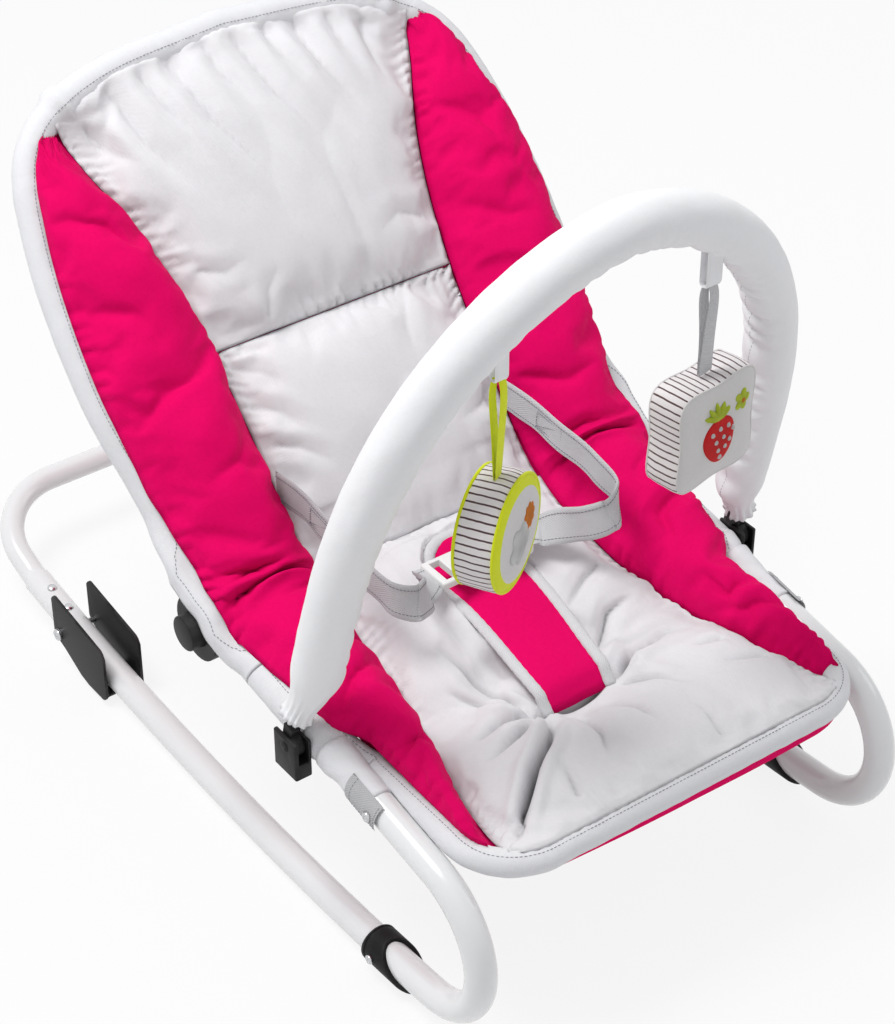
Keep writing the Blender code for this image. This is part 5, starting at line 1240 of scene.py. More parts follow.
COVER_U, COVER_ROWS = (0.64, 0.72, 0.80, 0.90, 1.0), 101
cover = []
for row in range(COVER_ROWS):
    inner, outer, s, edge = bolster_across(row / (COVER_ROWS - 1))
    cover.append([over_hem(inner + (outer - inner) * u, s) for u in COVER_U])
cover = np.array(cover)
cover = (np.vstack([cover[:1], cover[:-1]]) + 2 * cover + np.vstack([cover[1:], cover[-1:]])) / 4 + 0.0006


def bolster_place(u, v, upper):
    """u runs from the inner seam to the hem."""
    inner, outer, s, edge = bolster_across(v)
    ground, out = on_sling(inner + (outer - inner) * u, s)
    row = min(int(v * (COVER_ROWS - 1)), COVER_ROWS - 2)
    share = v * (COVER_ROWS - 1) - row
    hem_top = cover[row] * (1 - share) + cover[row + 1] * share
    over = eased(0.235, 0.27, v) * (1 - eased(0.90, 0.955, v))
    edge += max(hem_top[-1] - edge, 0.0) * over
    rim = 0.0035 + (edge - 0.0035) * u ** 1.5
    rim *= 1 - 0.75 * max(eased(0.95, 1.0, v), 1 - eased(0.0, 0.05, v)) * (1 - u)
    if not upper:
        low = 0.0005 + (rim - 0.0010) * u ** 4
        clear = (np.interp(u, COVER_U, hem_top) - 0.0004) * eased(0.60, 0.66, u) * over
        return ground + out * max(low, clear)
    tip = min(v / 0.20, (1 - v) / 0.22, 1.0)
    full = max(sin(pi * u), 0.0) ** 0.52 * sin(pi / 2 * max(tip, 0.0)) ** 0.62
    crown = max(0.045 - 0.006 * near_fold(v), edge + 0.007)
    return ground + out * (rim + (crown - rim) * full)


def mirrored(rule, side):
    return lambda u, v, upper: rule(u, v, upper) * Vector((side, 1, 1))


def over_bolster(shape):
    """Places on a bolster as metres across and along it, for its crease lines."""
    along, across = np.meshgrid(np.linspace(0, 1, shape[0]), np.linspace(0, 1, shape[1]), indexing="ij")
    return across * 0.07, along * 0.72


for side_name, side, seed in (("left", -1, 11.0), ("right", 1, 23.0)):
    name = "bolster_" + side_name
    rule = mirrored(bolster_place, side)
    sheet = surface_rows(rule, 176, 24, True)
    creases = [([(0.068, 0.284), (0.052, 0.300), (0.028, 0.306), (0.002, 0.298)], 0.0165, 0.0065),
               ([(0.069, 0.346), (0.050, 0.340), (0.036, 0.320)], 0.0075, 0.0060, 0.6),
               ([(0.060, 0.324), (0.042, 0.334), (0.022, 0.330)], 0.0060, 0.0050),
               ([(0.000, 0.280), (0.024, 0.262), (0.050, 0.254)], 0.0060, 0.0060, 0.2),
               ([(0.064, 0.094), (0.040, 0.098), (0.016, 0.101)], 0.0050, 0.0045),
               ([(0.066, 0.150), (0.044, 0.166), (0.020, 0.178)], 0.0044, 0.0055, 0.3),
               ([(0.002, 0.216), (0.026, 0.206), (0.044, 0.186)], 0.0040, 0.0060, 0.2),
               ([(0.060, 0.076), (0.034, 0.086)], 0.0030, 0.0045),
               ([(0.052, 0.640), (0.030, 0.628), (0.016, 0.596)], 0.0042, 0.0095),
               ([(0.066, 0.572), (0.042, 0.556), (0.034, 0.524)], 0.0058, 0.0110, 0.3),
               ([(0.068, 0.470), (0.044, 0.492), (0.018, 0.498)], 0.0056, 0.0110, 0.3),
               ([(0.006, 0.446), (0.024, 0.424), (0.050, 0.414)], 0.0048, 0.0090, 0.4)]
    if side > 0:
        creases = [([(0.000, 0.298), (0.030, 0.304), (0.064, 0.292)], 0.0165, 0.0065),
                   ([(0.006, 0.292), (0.014, 0.266), (0.006, 0.240)], 0.0080, 0.0055),
                   ([(0.002, 0.330), (0.028, 0.338), (0.046, 0.326)], 0.0065, 0.0055, 0.3),
                   ([(0.064, 0.202), (0.030, 0.190), (0.018, 0.154)], 0.0062, 0.0055, 0.4),
                   ([(0.046, 0.096), (0.016, 0.099), (0.020, 0.130)], 0.0060, 0.0050, 0.4),
                   ([(0.002, 0.107), (0.014, 0.078), (0.062, 0.060)], 0.0056, 0.0050, 0.4),
                   ([(0.056, 0.246), (0.036, 0.232), (0.030, 0.210)], 0.0050, 0.0060, 0.3),
                   ([(0.012, 0.632), (0.036, 0.614), (0.042, 0.580)], 0.0042, 0.0100, 0.4),
                   ([(0.006, 0.552), (0.028, 0.528), (0.048, 0.522)], 0.0054, 0.0110, 0.3),
                   ([(0.064, 0.482), (0.046, 0.456), (0.018, 0.446)], 0.0054, 0.0110, 0.4),
                   ([(0.004, 0.402), (0.026, 0.384), (0.052, 0.388)], 0.0052, 0.0090, 0.3)]
    sheet = lifted(sheet, hold_edges(-grooves(*over_bolster(sheet.shape), creases), 3))
    sheet = doubled(softened(blown(name, sheet, 2.6, 0.05, 0.006), 1))
    amount = 0.0026 * noisy(sheet, 0.060, seed, (1, 0.6, 0.6)) + 0.0012 * noisy(sheet, 0.022, seed + 1)
    amount -= grooves(*over_bolster(sheet.shape), [(line[0], line[1] * 0.22, line[2] * 0.35, *line[3:])
                                                   for line in creases])
    sheet = puckered(lifted(sheet, hold_edges(amount)), (0, 0, 1.1, 1.0), 0.0026, 0.014, 0.014, seed)
    for point in sheet.reshape(-1, 3):
        from_axis = hypot(point[1] - HINGE.y, point[2] - HINGE.z)
        least = (hinge_cover(point) + 0.0006) * eased(0.178, 0.187, abs(point[0]))
        if from_axis < least:
            point[1:] = np.array(HINGE)[1:] + (point[1:] - np.array(HINGE)[1:]) * least / from_axis
    bolster = bending(finished(
        name, joined_sheets(sheet, surface_rows(rule, *sheet.shape[:2], False)), None, pink_cloth,
        ["seat_bolster_" + side_name, "back_bolster_" + side_name], 180))

# Hinge hems: where the hem passes from the backrest tube over the recline hinge to the arm, it
# opens out and hangs over the disc and the housing down to the knob.
HINGE_SECTION = [Vector(p) for p in (
    (-0.0120, -0.0110), (-0.0132, -0.0040), (-0.0122, 0.0016), (-0.0070, 0.0040), (0.0040, 0.0046),
    (0.0150, 0.0046), (0.0240, 0.0040), (0.0292, 0.0010), (0.0306, -0.0050), (0.0306, -0.0122))]


def strip_frame(line, i, way):
    """Directions along, across and out of a strip of cloth at one place of its middle line."""
    ahead = (line[min(i + 1, len(line) - 1)] - line[max(i - 1, 0)]).normalized()
    across = (way - ahead * way.dot(ahead)).normalized()
    return ahead, across, ahead.cross(across).normalized()


for side_name, side in (("left", -1), ("right", 1)):
    line = [back_at(side * back_reach(0.135, 0), 0.135), back_at(side * 0.2085, 0.092),
            back_at(side * 0.2060, 0.072, 0.002), back_at(side * 0.2000, 0.050, 0.012)]
    line += [HINGE + Vector((side * x, r * cos(radians(lean)), r * sin(radians(lean))))
             for x, r, lean in ((0.1962, 0.0300, 100), (0.1958, 0.0296, 128), (0.1958, 0.0310, 154))]
    line += [at(side * 0.1990, -0.014, arm_z(-0.014) + 0.0050), at(side * 0.2000, -0.036, arm_z(-0.036))]
    line = even(through(line, 12), 64)
    outer_rows, inner_rows, seam_row = [], [], []
    for i, place in enumerate(line):
        share = i / (len(line) - 1)
        ahead, out, above = strip_frame(line, i, Vector((side, 0, 0)))
        if above.dot(back_out + Vector((0, 0, 1))) < 0:
            above = -above
        opened = eased(0.28, 0.49, share) * (1 - eased(0.776, 0.976, share))
        r = 0.0131 + 0.0042 * max((share - 0.2) / 0.8, 0) - 0.0004 * (1 - eased(0.0, 0.05, share))
        hanging = 0.0090 * eased(0.0, 0.42, share) * (1 - eased(0.58, 0.78, share))
        section = []
        for k in range(28):
            t = k / 27
            angle = radians(222 - 264 * t)
            n = min(int(t * 9), 8)
            open_spot = HINGE_SECTION[n].lerp(HINGE_SECTION[n + 1], t * 9 - n)
            round_spot = Vector((r * cos(angle) + hanging * max(cos(angle), 0), r * sin(angle)))
            ripple = 1 + sin(38 * share + 5 * t) / 87.5
            section.append(round_spot.lerp(open_spot, opened) * ripple)
        outer_row, inner_row = [], []
        for k, spot in enumerate(section):
            along = (section[min(k + 1, 27)] - section[max(k - 1, 0)]).normalized()
            inner = spot + Vector((along.y, -along.x)) * 0.0013
            outer_row.append(place + out * spot.x + above * spot.y)
            inner_row.append(place + out * inner.x + above * inner.y)
        outer_rows.append(outer_row)
        inner_rows.append(inner_row)
        seam_row.append(outer_row[round(27 * (0.535 + 0.20 * opened))] + above * 0.0003)
    bending(stitched("hinge_hem_seam_" + side_name, [seam_row[2:-2]], None))
    bending(finished("hinge_hem_" + side_name, joined_sheets(outer_rows, inner_rows), None, hem_cloth,
                     smooth=180))

# The skirt: a strip of the pink sling that hangs a little below the front hem, and the two grey
# tabs that wrap the arms under the rail screws.
skirt_path, skirt_frames = carried_frames(hem_line[75:-75])
skirt_outer, skirt_inner = [], []
for i, (place, (ahead, across, up)) in enumerate(zip(skirt_path, skirt_frames)):
    share = i / (len(skirt_path) - 1)
    ends = min(share, 1 - share) / 0.08
    deep = min(ends, 1.0) * (0.0050 + 0.0100 * eased(0.22, 0.50, share) + 0.0008 * sin(i * 0.085))
    outer_row = []
    for t in np.linspace(0, 1, 7):
        down = -0.0085 - deep * sin(pi / 2 * min(t * 1.5, 1.0)) + 0.004 * max(t - 0.6, 0)
        inward = -0.0040 + 0.0030 * t + 0.030 * max(t - 0.4, 0) ** 1.3
        outer_row.append(place + up * down + across * inward)
    skirt_outer.append(outer_row)
    skirt_inner.append([spot + across * 0.0010 + up * 0.0008 for spot in outer_row])
finished("front_skirt", joined_sheets(skirt_outer, skirt_inner), "rocker_frame", pink_cloth,
         smooth=180)

tab_cloth = cloth_finish("grey_tab", (0.50, 0.50, 0.51), (0.36, 0.36, 0.37), threads=900, relief=0.8)


def on_arm(side, y, turn, r):
    """A place beside the arm, at an angle round it and a distance from its middle line."""
    return at(side * (HALF_TRACK + r * cos(turn)), y, arm_z(y) + r * sin(turn))


def cuff_radius(share, angle):
    return 0.0164 - 0.0028 * eased(0.0, 0.45, share) + 0.0004 * sin(3 * angle + 17 * share)


TAB_SEAM = ((-0.200, 62), (-0.200, -22), (-0.170, -22), (-0.170, 62))
for side_name, side in (("left", -1), ("right", 1)):
    cuff = [at(side * HALF_TRACK, y, arm_z(y)) for y in np.linspace(-0.128, -0.187, 24)]
    finished("arm_cuff_" + side_name, swept(cuff, cuff_radius), "rocker_frame", hem_cloth,
             smooth=180)
    tab = [[[on_arm(side, -0.202 + 0.038 * j / 8, radians(66 - 92 * i / 16), r) for j in range(9)]
            for i in range(17)] for r in (0.0153, 0.0141)]
    finished("arm_tab_" + side_name, joined_sheets(*tab), "rocker_frame", tab_cloth,
             smooth=50)
    seam = [on_arm(side, y + (next_y - y) * n / 8, radians(a + (next_a - a) * n / 8), 0.0154)
            for (y, a), (next_y, next_a) in zip(TAB_SEAM, TAB_SEAM[1:]) for n in range(1, 9)]
    stitched("arm_tab_seam_" + side_name, [seam], "rocker_frame", pitch=0.003, length=0.0023,
             thickness=0.0005)

# Screws and rivets: zinc-plated cross-recess screws hold the rail, shoes, feet and bar clips, and
# plain domed rivets hold the rear bar in the runners.
bright = hard_finish("bright_zinc", (0.62, 0.63, 0.65), (0.35, 0.34, 0.33), 0.24, 0.10, 2400, 0.6,
                     metallic=1.0)
head_tree = bpy.data.node_groups.new("fastener_heads", "GeometryNodeTree")
heads_in, heads_out = group_ends(head_tree, {"Places": "Geometry", "Head": "Object",
                                             "Metal": "Material"}, {"Heads": "Geometry"})
aim, breadth = [
    add_node(head_tree, "GeometryNodeInputNamedAttribute", {"data_type": kind}, Name=name).outputs[0]
    for name, kind in (("aim", "FLOAT_VECTOR"), ("breadth", "FLOAT"))]
head_form = add_node(head_tree, "GeometryNodeObjectInfo", Object=heads_in["Head"])
set_on_points(head_tree, heads_in["Places"], head_form.outputs["Geometry"], aim, breadth,
              heads_in["Metal"], heads_out["Heads"])


def head_object(name, profile, recess):
    rings = []
    for r, z in profile:
        cut = recess * min(1.6 * (0.75 - r), 1.0) if r < 0.62 and z > 0.3 else 0.0
        rings.append([Vector((r * cos(pi * j / 12), r * sin(pi * j / 12), z - (0.0 if j % 6 else cut)))
                      for j in range(24)])
    mesh = woven_mesh(rings, tube=True)
    mesh.shade_smooth()
    mesh.set_sharp_from_angle(angle=radians(40))
    holder = bpy.data.objects.new(name, mesh)
    studio.collection.objects.link(holder)
    return holder


def fasteners(name, head, spots, stands_for):
    source = bpy.data.meshes.new(name + "_spots")
    source.from_pydata([tuple(place) for place, way, r in spots], [], [])
    source.attributes.new("aim", "FLOAT_VECTOR", "POINT")
    source.attributes.new("breadth", "FLOAT", "POINT")
    for n, (place, way, r) in enumerate(spots):
        source.attributes["aim"].data[n].vector = way
        source.attributes["breadth"].data[n].value = r
    mesh = grown(name, source, head_tree, {"Head": head, "Metal": bright})
    bpy.data.objects.remove(head, do_unlink=True)
    finished(name, mesh, "rocker_frame", bright, stands_for, 40)


screw_head = head_object("screw_head", [(0.98, -0.05), (1.0, 0.05), (1.0, 0.28), (0.96, 0.42), (0.84, 0.54),
                                        (0.60, 0.62), (0.36, 0.65), (0.14, 0.66), (0.03, 0.66)], 0.34)
rivet_head = head_object("rivet_head", [(0.98, -0.05), (1.0, 0.04), (0.98, 0.18), (0.88, 0.34), (0.68, 0.46),
                                        (0.42, 0.53), (0.18, 0.55), (0.04, 0.55)], 0.0)
screw_spots, rivet_spots = [], []
for side in (-1, 1):
    out = Vector((side, 0, 0))
    screw_spots += [
        (at(side * 0.2150, -0.193, 0.16852), out, 0.0045),
        (at(side * 0.2164, -0.194, runner_z(-0.194)), out, 0.0040),
        (at(side * 0.2195, 0.283, runner_z(0.283) + 0.003), out, 0.0056),
        (at(side * 0.1805, 0.283, runner_z(0.283) + 0.003), -out, 0.0056)]
    for y in (0.300, 0.329):
        up = Vector((0, -(runner_z(y + 0.001) - runner_z(y - 0.001)) / 0.002, 1)).normalized()
        rivet_spots.append((at(side * HALF_TRACK, y, runner_z(y)) + up * 0.0124, up, 0.0043))
fasteners("frame_screws", screw_head, screw_spots,
          ["rail_screw_left", "rail_screw_right", "shoe_screw_left", "shoe_screw_right"])
fasteners("rear_bar_rivets", rivet_head, rivet_spots,
          ["rear_rivet_left_1", "rear_rivet_left_2", "rear_rivet_right_1", "rear_rivet_right_2"])
for side_name in ("left", "right"):
    for node, metal in (("foot_pin_", bright), ("hinge_pin_", bright), ("toy_bar_pin_", nylon)):
        recoated(node + side_name, metal)

# Crotch pad: a flat pink pad with a round end and a broad grey binding, sewn through the seat pad
# at its front and lying back over it.
def tucked(y):
    """How far the front end is drawn down through the slit in the seat."""
    return 0.011 * eased(-0.168, -0.181, y)


def crotch_at(x, y, z):
    """A place on the crotch pad, whose front end is pulled a little forward and to the left."""
    share = eased(-0.050, -0.178, y)
    return at(x - 0.011 * share, y - 0.009 * share, z)


def crotch_place(u, v, upper):
    y = CROTCH_FRONT * (1 - sin(pi / 2 * v) ** 0.94)
    x = (2 * u - 1) * max(crotch_half(min(y, 0.0035)) - 0.0045, 0.001)
    swell = 0.30 + 0.70 * (max(sin(pi * u), 0.0) * max(sin(pi * min(v * 1.02, 1)), 0.0)) ** 0.5
    soft = 0.0004 * noise.noise(Vector((x * 60, y * 60, 1.0)))
    return crotch_at(x, y, crotch_base(y) - tucked(y) + (0.0088 * swell + soft if upper else 0.0004))


crotch = finished("crotch_pad_panel", joined_sheets(surface_rows(crotch_place, 70, 40, True),
                                                    surface_rows(crotch_place, 70, 40, False)),
                  "rocker_frame", pink_cloth, ["crotch_pad"], 180)
strap_cloth = cloth_finish("strap_webbing", (0.62, 0.62, 0.635), (0.46, 0.46, 0.48), threads=900,
                           relief=0.8, crumple=0.06)
outline = [(-crotch_half(y), y) for y in np.linspace(CROTCH_FRONT, ROUND_Y, 26)]
outline += [(-ROUND_R * cos(a), ROUND_Y + ROUND_R * sin(a)) for a in np.linspace(0, pi, 34)[1:-1]]
outline += [(crotch_half(y), y) for y in np.linspace(ROUND_Y, CROTCH_FRONT, 26)]
binding_line = even([
    crotch_at(x * 0.90, y if y < ROUND_Y else ROUND_Y + (y - ROUND_Y) * 0.90,
              crotch_base(min(y, 0.0)) - tucked(y) + 0.0042) for x, y in outline], 150)


def binding_ring(share, angle):
    crimp = 0.00025 * sin(share * 620)
    return 1 / sqrt((cos(angle) / (0.0050 + crimp)) ** 2 + (sin(angle) / 0.0030) ** 2)


binding_cloth = cloth_finish("crotch_binding", (0.74, 0.735, 0.75), (0.60, 0.60, 0.62), threads=900,
                             relief=0.8)
finished("crotch_pad_binding", swept(binding_line, binding_ring, 20), "rocker_frame", binding_cloth,
         smooth=180)
stitched("crotch_pad_seam", [[place + across * 0.0034 + up * 0.0023 for place, (ahead, across, up)
                              in zip(*carried_frames(binding_line))]], "rocker_frame", pitch=0.0032,
         length=0.0025, thickness=0.0005)

# Hip straps: 30 mm folded webbing with bound edges, from the seams beside the back pad forward
# and down to the buckle. Each edge has a dark seam, and a stitched box stands near its root.
root = back_at(0.11346, 0.078, 0.0085)
BUCKLE_Z = 0.224745
STRAP_HALF = 0.0148


def strap_frame(line, i, way, side):
    """Directions across and out of a hip strap, whose face is turned out to the side and up."""
    ahead, away, face = strip_frame(line, i, way)
    return away, -face if face.dot(Vector((side, 0, 0.6))) < 0 else face


for side_name, side, plug in (("left", -1, 0.0440), ("right", 1, 0.0403)):
    route = [
        ((root.x, root.y + MIDDLE, root.z), back_way),
        ((root.x - 0.0005, 0.045, root.z + 0.0024), (0.0, 0.35, 0.94)),
        ((root.x + 0.0005, 0.000, root.z - 0.0016), (0.0, 0.10, 1.00)),
        ((root.x + 0.0025, -0.045, root.z - 0.0076), (0.0, 0.10, 1.00)),
        ((root.x - 0.0005, -0.078, root.z - 0.0136), (0.0, 0.10, 1.00)),
        ((root.x - 0.0155, -0.092, BUCKLE_Z + 0.0249), (-0.1, 0.30, 0.95)),
        ((root.x - 0.0335, -0.083, BUCKLE_Z + 0.0179), (-0.2, 0.60, 0.77)),
        ((0.0680, -0.064, BUCKLE_Z + 0.0089), (-0.1, 0.90, 0.40)),
        ((0.0530, -0.049, BUCKLE_Z + 0.0006), (0.0, 1.0, 0.0)),
        ((plug, -0.048, BUCKLE_Z), (0.0, 1.0, 0.0))]
    centres = through([at(side * p[0], p[1], p[2]) for p, a in route], 9)
    aways = [Vector((side * a[0], a[1], a[2])).normalized() for p, a in route]
    aways = [aways[min(n // 9, 8)].lerp(aways[min(n // 9 + 1, 9)], (n % 9) / 9).normalized()
             for n in range(len(centres))]
    upper_rows, lower_rows, seams = [], [], [[], [], [], []]
    last = len(centres) - 1
    for i, centre in enumerate(centres):
        away, face = strap_frame(centres, i, aways[i], side)
        ripple = 0.0007 * sin(i * 0.55 + side) * min(i / 12, 1, (last - i) / 12)
        wide = STRAP_HALF * (1.0 - 0.10 * eased(0.92, 1.0, i / last))

        def on_strap(w, lift):
            return centre + away * (w * wide) + face * (ripple * (1 - 0.5 * w) - 0.0005 * w * w + lift)

        ws = [j / 7 - 1 for j in range(15)]
        thick = [0.0009 + 0.0005 * eased(0.72, 0.80, abs(w)) - 0.0009 * eased(0.96, 1.0, abs(w))
                 for w in ws]
        upper_rows.append([on_strap(w, t) for w, t in zip(ws, thick)])
        lower_rows.append([on_strap(w, -t) for w, t in zip(ws, thick)])
        for row, (w, lift) in zip(seams, ((-0.68, 1), (0.68, 1), (-0.68, -1), (0.68, -1))):
            row.append(on_strap(w, lift * 0.00105))
    for lift in (0.0013, -0.0013):
        box = []
        for i, w in ((13, -0.5), (13, 0.5), (19, 0.5), (19, -0.5), (13, -0.5), (19, 0.5)):
            away, face = strap_frame(centres, i, aways[i], side)
            box.append(centres[i] + away * (w * STRAP_HALF) + face * lift)
        seams.append(box)
    bending(finished("hip_strap_webbing_" + side_name, joined_sheets(upper_rows, lower_rows), None,
                     strap_cloth, ["hip_strap_" + side_name], 60))
    bending(stitched("hip_strap_seam_" + side_name, seams, None, pitch=0.0030, length=0.0027,
                     thickness=0.0007))

# Buckle: white acetal side-release buckle. The tongue clicks into the housing and the two prongs
# are squeezed to let it go.
acetal = hard_finish("white_acetal", (0.86, 0.86, 0.85), (0.70, 0.70, 0.68), 0.30, 0.06, 1800, 0.4, coat=0.1)
for node, body, rounding in (
        ("buckle_tongue", "rocker_frame", 0.0006), ("buckle_housing", "rocker_frame", 0.0005),
        ("buckle_prong_front", "buckle_prong_front", 0.0004),
        ("buckle_prong_rear", "buckle_prong_rear", 0.0004)):
    finished(node + "_moulded", moulded(node, rounding, 2), body, acetal, [node], 32)

# Toy bar: a black bowed rod inside a padded white sleeve. The sleeve is sewn along its inner side
# and drawn in by elastic above each clip.
BAR_LEAN = radians(13.8)
bar_foot = at(0, -0.107, 0.199966)
bar_rise = Vector((0, -sin(BAR_LEAN), cos(BAR_LEAN)))
bar_back = Vector((0, cos(BAR_LEAN), sin(BAR_LEAN)))


def bar_place(side, sweep):
    up = 0.4147 * sin(sweep)
    shoulder = max(1 - sin(sweep) ** 3.23, 0.0) ** (1 / 1.68)
    x = side * (0.2065 * shoulder + 0.0165 * exp(-(up / 0.035) ** 2))
    return bar_foot + Vector((x, 0, 0)) + bar_rise * up


sweeps = [0.0044 + (pi / 2 - 0.0044) * n / 240 for n in range(241)]
arch = [bar_place(-1, s) for s in sweeps] + [bar_place(1, s) for s in sweeps[::-1][1:]]
sleeve_line = even([p for p in arch if p.z > arch[0].z + 0.0100], 300)
sleeve_length = sum((b - a).length for a, b in zip(sleeve_line, sleeve_line[1:]))
white_cloth = cloth_finish("white_sleeve_cloth", (0.93, 0.93, 0.945), (0.84, 0.845, 0.865), relief=0.25,
                           crumple=0.10)


def sleeve_radius(share, angle):
    from_end = min(share, 1 - share) * sleeve_length
    r = 0.0112 + (0.0208 - 0.0112) * eased(0.004, 0.052, from_end)
    r += 0.0022 * exp(-(from_end / 0.0035) ** 2)
    gather = exp(-(from_end / 0.022) ** 2)
    r += 0.0011 * gather * sin(13 * angle + 1.5 * sin(3 * angle))
    inside = exp(-((angle - 1.5 * pi) / 0.85) ** 2)
    run = share * sleeve_length
    pucker = abs(sin(run * pi / 0.0205 + 1.2 * sin(run * 37) + 0.9 * sin(run * 83)))
    r -= inside * (0.0002 + 0.0056 * (1 - pucker) ** 1.3) * eased(0.0, 0.05, from_end)
    r += 0.0004 * noise.noise(Vector((run * 22, cos(angle) * 1.3, sin(angle) * 1.3)))
    r += 0.0003 * noise.noise(Vector((run * 70, cos(angle) * 2, sin(angle) * 2 + 5)))
    return r


sleeve = finished("toy_bar_sleeve", swept(sleeve_line, sleeve_radius, 56, side=bar_back), "toy_bar",
                  white_cloth, ["toy_bar_pad"], 180)
inner_seam = [p - up * (sleeve_radius(i / 299, 1.5 * pi) + 0.0002)
              for i, (p, (ahead, across, up)) in enumerate(zip(*carried_frames(sleeve_line, bar_back)))]
pale_thread = hard_finish("pale_thread", (0.55, 0.55, 0.58), (0.40, 0.40, 0.43), 0.6, 0.5, 2600, 0.0)
stitched("toy_bar_sleeve_seam", [inner_seam[8:-8]], "toy_bar", pale_thread, 0.0036, 0.0026, 0.0005)
recoated("toy_bar_rod", nylon)


# Toys: two stuffed toys of printed cotton on short tapes that hang in white tabs on the sleeve.
# Each has a striped side band, and soft faces with embroidered patches: a cloud with a sun on
# the round one, a strawberry with a small flower on the square one.
def cloth_loop(name, line, ways, widths, thickness, body, material, stands_for=()):
    """A narrow folded cloth along a line, with its direction across and its width at each place."""
    upper_rows, lower_rows = [], []
    for i, place in enumerate(line):
        ahead, away, face = strip_frame(line, i, ways[i])
        for rows, lift in ((upper_rows, 0.5), (lower_rows, -0.5)):
            rows.append([place + away * (w * widths[i] / 2) + face * (thickness * lift - 0.0005 * w * w)
                         for w in np.linspace(-1, 1, 9)])
    finished(name, joined_sheets(upper_rows, lower_rows), body, material, stands_for, 60)


stripe_cloth, stripe_tree, stripe_shader = surfaced(
    "striped_cotton", woven, {"Vector": "UV", "Place": "Object"},
    {"Colour": (0.86, 0.82, 0.82), "Deep": (0.74, 0.69, 0.68), "Threads": 1900, "Relief": 0.5,
     "Crumple": 0.10})
stripe_place = stripe_tree.nodes.new("ShaderNodeTexCoord").outputs["UV"]
stripe_split = add_node(stripe_tree, "ShaderNodeSeparateXYZ", i0=stripe_place).outputs
stripe_waver = times(stripe_tree, noise_node(stripe_tree, stripe_place, 160.0, 1.0), 0.0008)
stripe_run = plus(stripe_tree, stripe_split["X"], stripe_waver)
stripe_part = math_node(stripe_tree, "FRACT", math_node(stripe_tree, "DIVIDE", stripe_run, 0.0063))
from_middle = math_node(stripe_tree, "ABSOLUTE", math_node(stripe_tree, "SUBTRACT", stripe_part, 0.5))
tinted(stripe_cloth, masked(stripe_tree, from_middle, 0.135, 0.090), (0.060, 0.016, 0.020))
stripe_shader["Sheen Weight"].default_value = 0.15

lime_cloth = cloth_finish("lime_cotton", (0.80, 0.88, 0.012), (0.62, 0.70, 0.008), threads=1700)
face_cloth = cloth_finish("grey_cotton", (0.76, 0.74, 0.73), (0.62, 0.60, 0.595), threads=1700)


def embroidery(name, colour, deep):
    return cloth_finish(name, colour, deep, threads=2600, relief=0.9, crumple=0.05, sheen=0.04)


PROFILE = [(0.02, 0.0210), (0.20, 0.0209), (0.40, 0.0204), (0.56, 0.0198), (0.70, 0.0189), (0.80, 0.0180),
           (0.88, 0.0170), (0.94, 0.0158), (0.972, 0.0149)]
BAND = [(0.982, 0.0140), (0.994, 0.0105), (1.000, 0.0055), (1.002, 0.0)]


def toy_reach(angle, power):
    """Half the toy's width at an angle; a square one is drawn in along its sides."""
    drawn = 0.085 * abs(cos(2 * angle)) ** 1.5 if power > 3 else 0.0
    return 0.045 * (1 - drawn) / (abs(cos(angle)) ** power + abs(sin(angle)) ** power) ** (1 / power)


def toy_parts(toy, x, y, z, turn, power):
    """A toy's body, its middle, the directions beside and in front of it, and how square it is."""
    beside = Vector((cos(radians(turn)), sin(radians(turn)), 0))
    return toy, Vector((x, y, z)), beside, Vector((beside.y, -beside.x, 0)), power


TOY_SIDES = 96
BAND_DEPTH = 0.0146


def toy_body(parts, rim, face, seed):
    toy, centre, beside, front, power = parts
    name = toy + "_stuffed"
    half = PROFILE + BAND
    rings = []
    for s, d in [(s, -d) for s, d in half] + half[::-1][1:]:
        ring = []
        for j in range(TOY_SIDES):
            a = 2 * pi * j / TOY_SIDES
            soft = noise.noise(Vector((cos(a) * 2.2, sin(a) * 2.2, d * 90 + seed)))
            soft *= 0.0007 * min(1.0, 2 * s)
            crimp = 0.00035 * sin(a * 37 + seed) * exp(-((abs(d) - 0.0145) / 0.0025) ** 2)
            r = toy_reach(a, power) * s + soft + crimp
            ring.append(centre + beside * r * cos(a) + Vector((0, 0, r * sin(a))) + front * (d + soft * 0.7))
        rings.append(ring)
    mesh = woven_mesh(rings, tube=True)
    for material in (stripe_cloth, rim, face):
        mesh.materials.append(material)
    for p in mesh.polygons:
        off = p.center - centre
        a, b = off.dot(beside), off.z
        share = hypot(a, b) / toy_reach(atan2(b, a), power)
        p.material_index = 0 if abs(off.dot(front)) < BAND_DEPTH else (1 if share > 0.76 else 2)
    finished(name, mesh, toy, stripe_cloth, [toy], 180)
    for edge_name, way in (("front", 1), ("back", -1)):
        loop = []
        for j in range(121):
            a = 2 * pi * j / 120
            r = toy_reach(a, power) * 0.978
            loop.append(centre + beside * r * cos(a) + Vector((0, 0, r * sin(a))) + front * way * 0.0148)
        finished(f"{name}_piping_{edge_name}", swept(loop, 0.0013 if power < 3 else 0.0007, 10, side=front),
                 toy, rim, smooth=180)


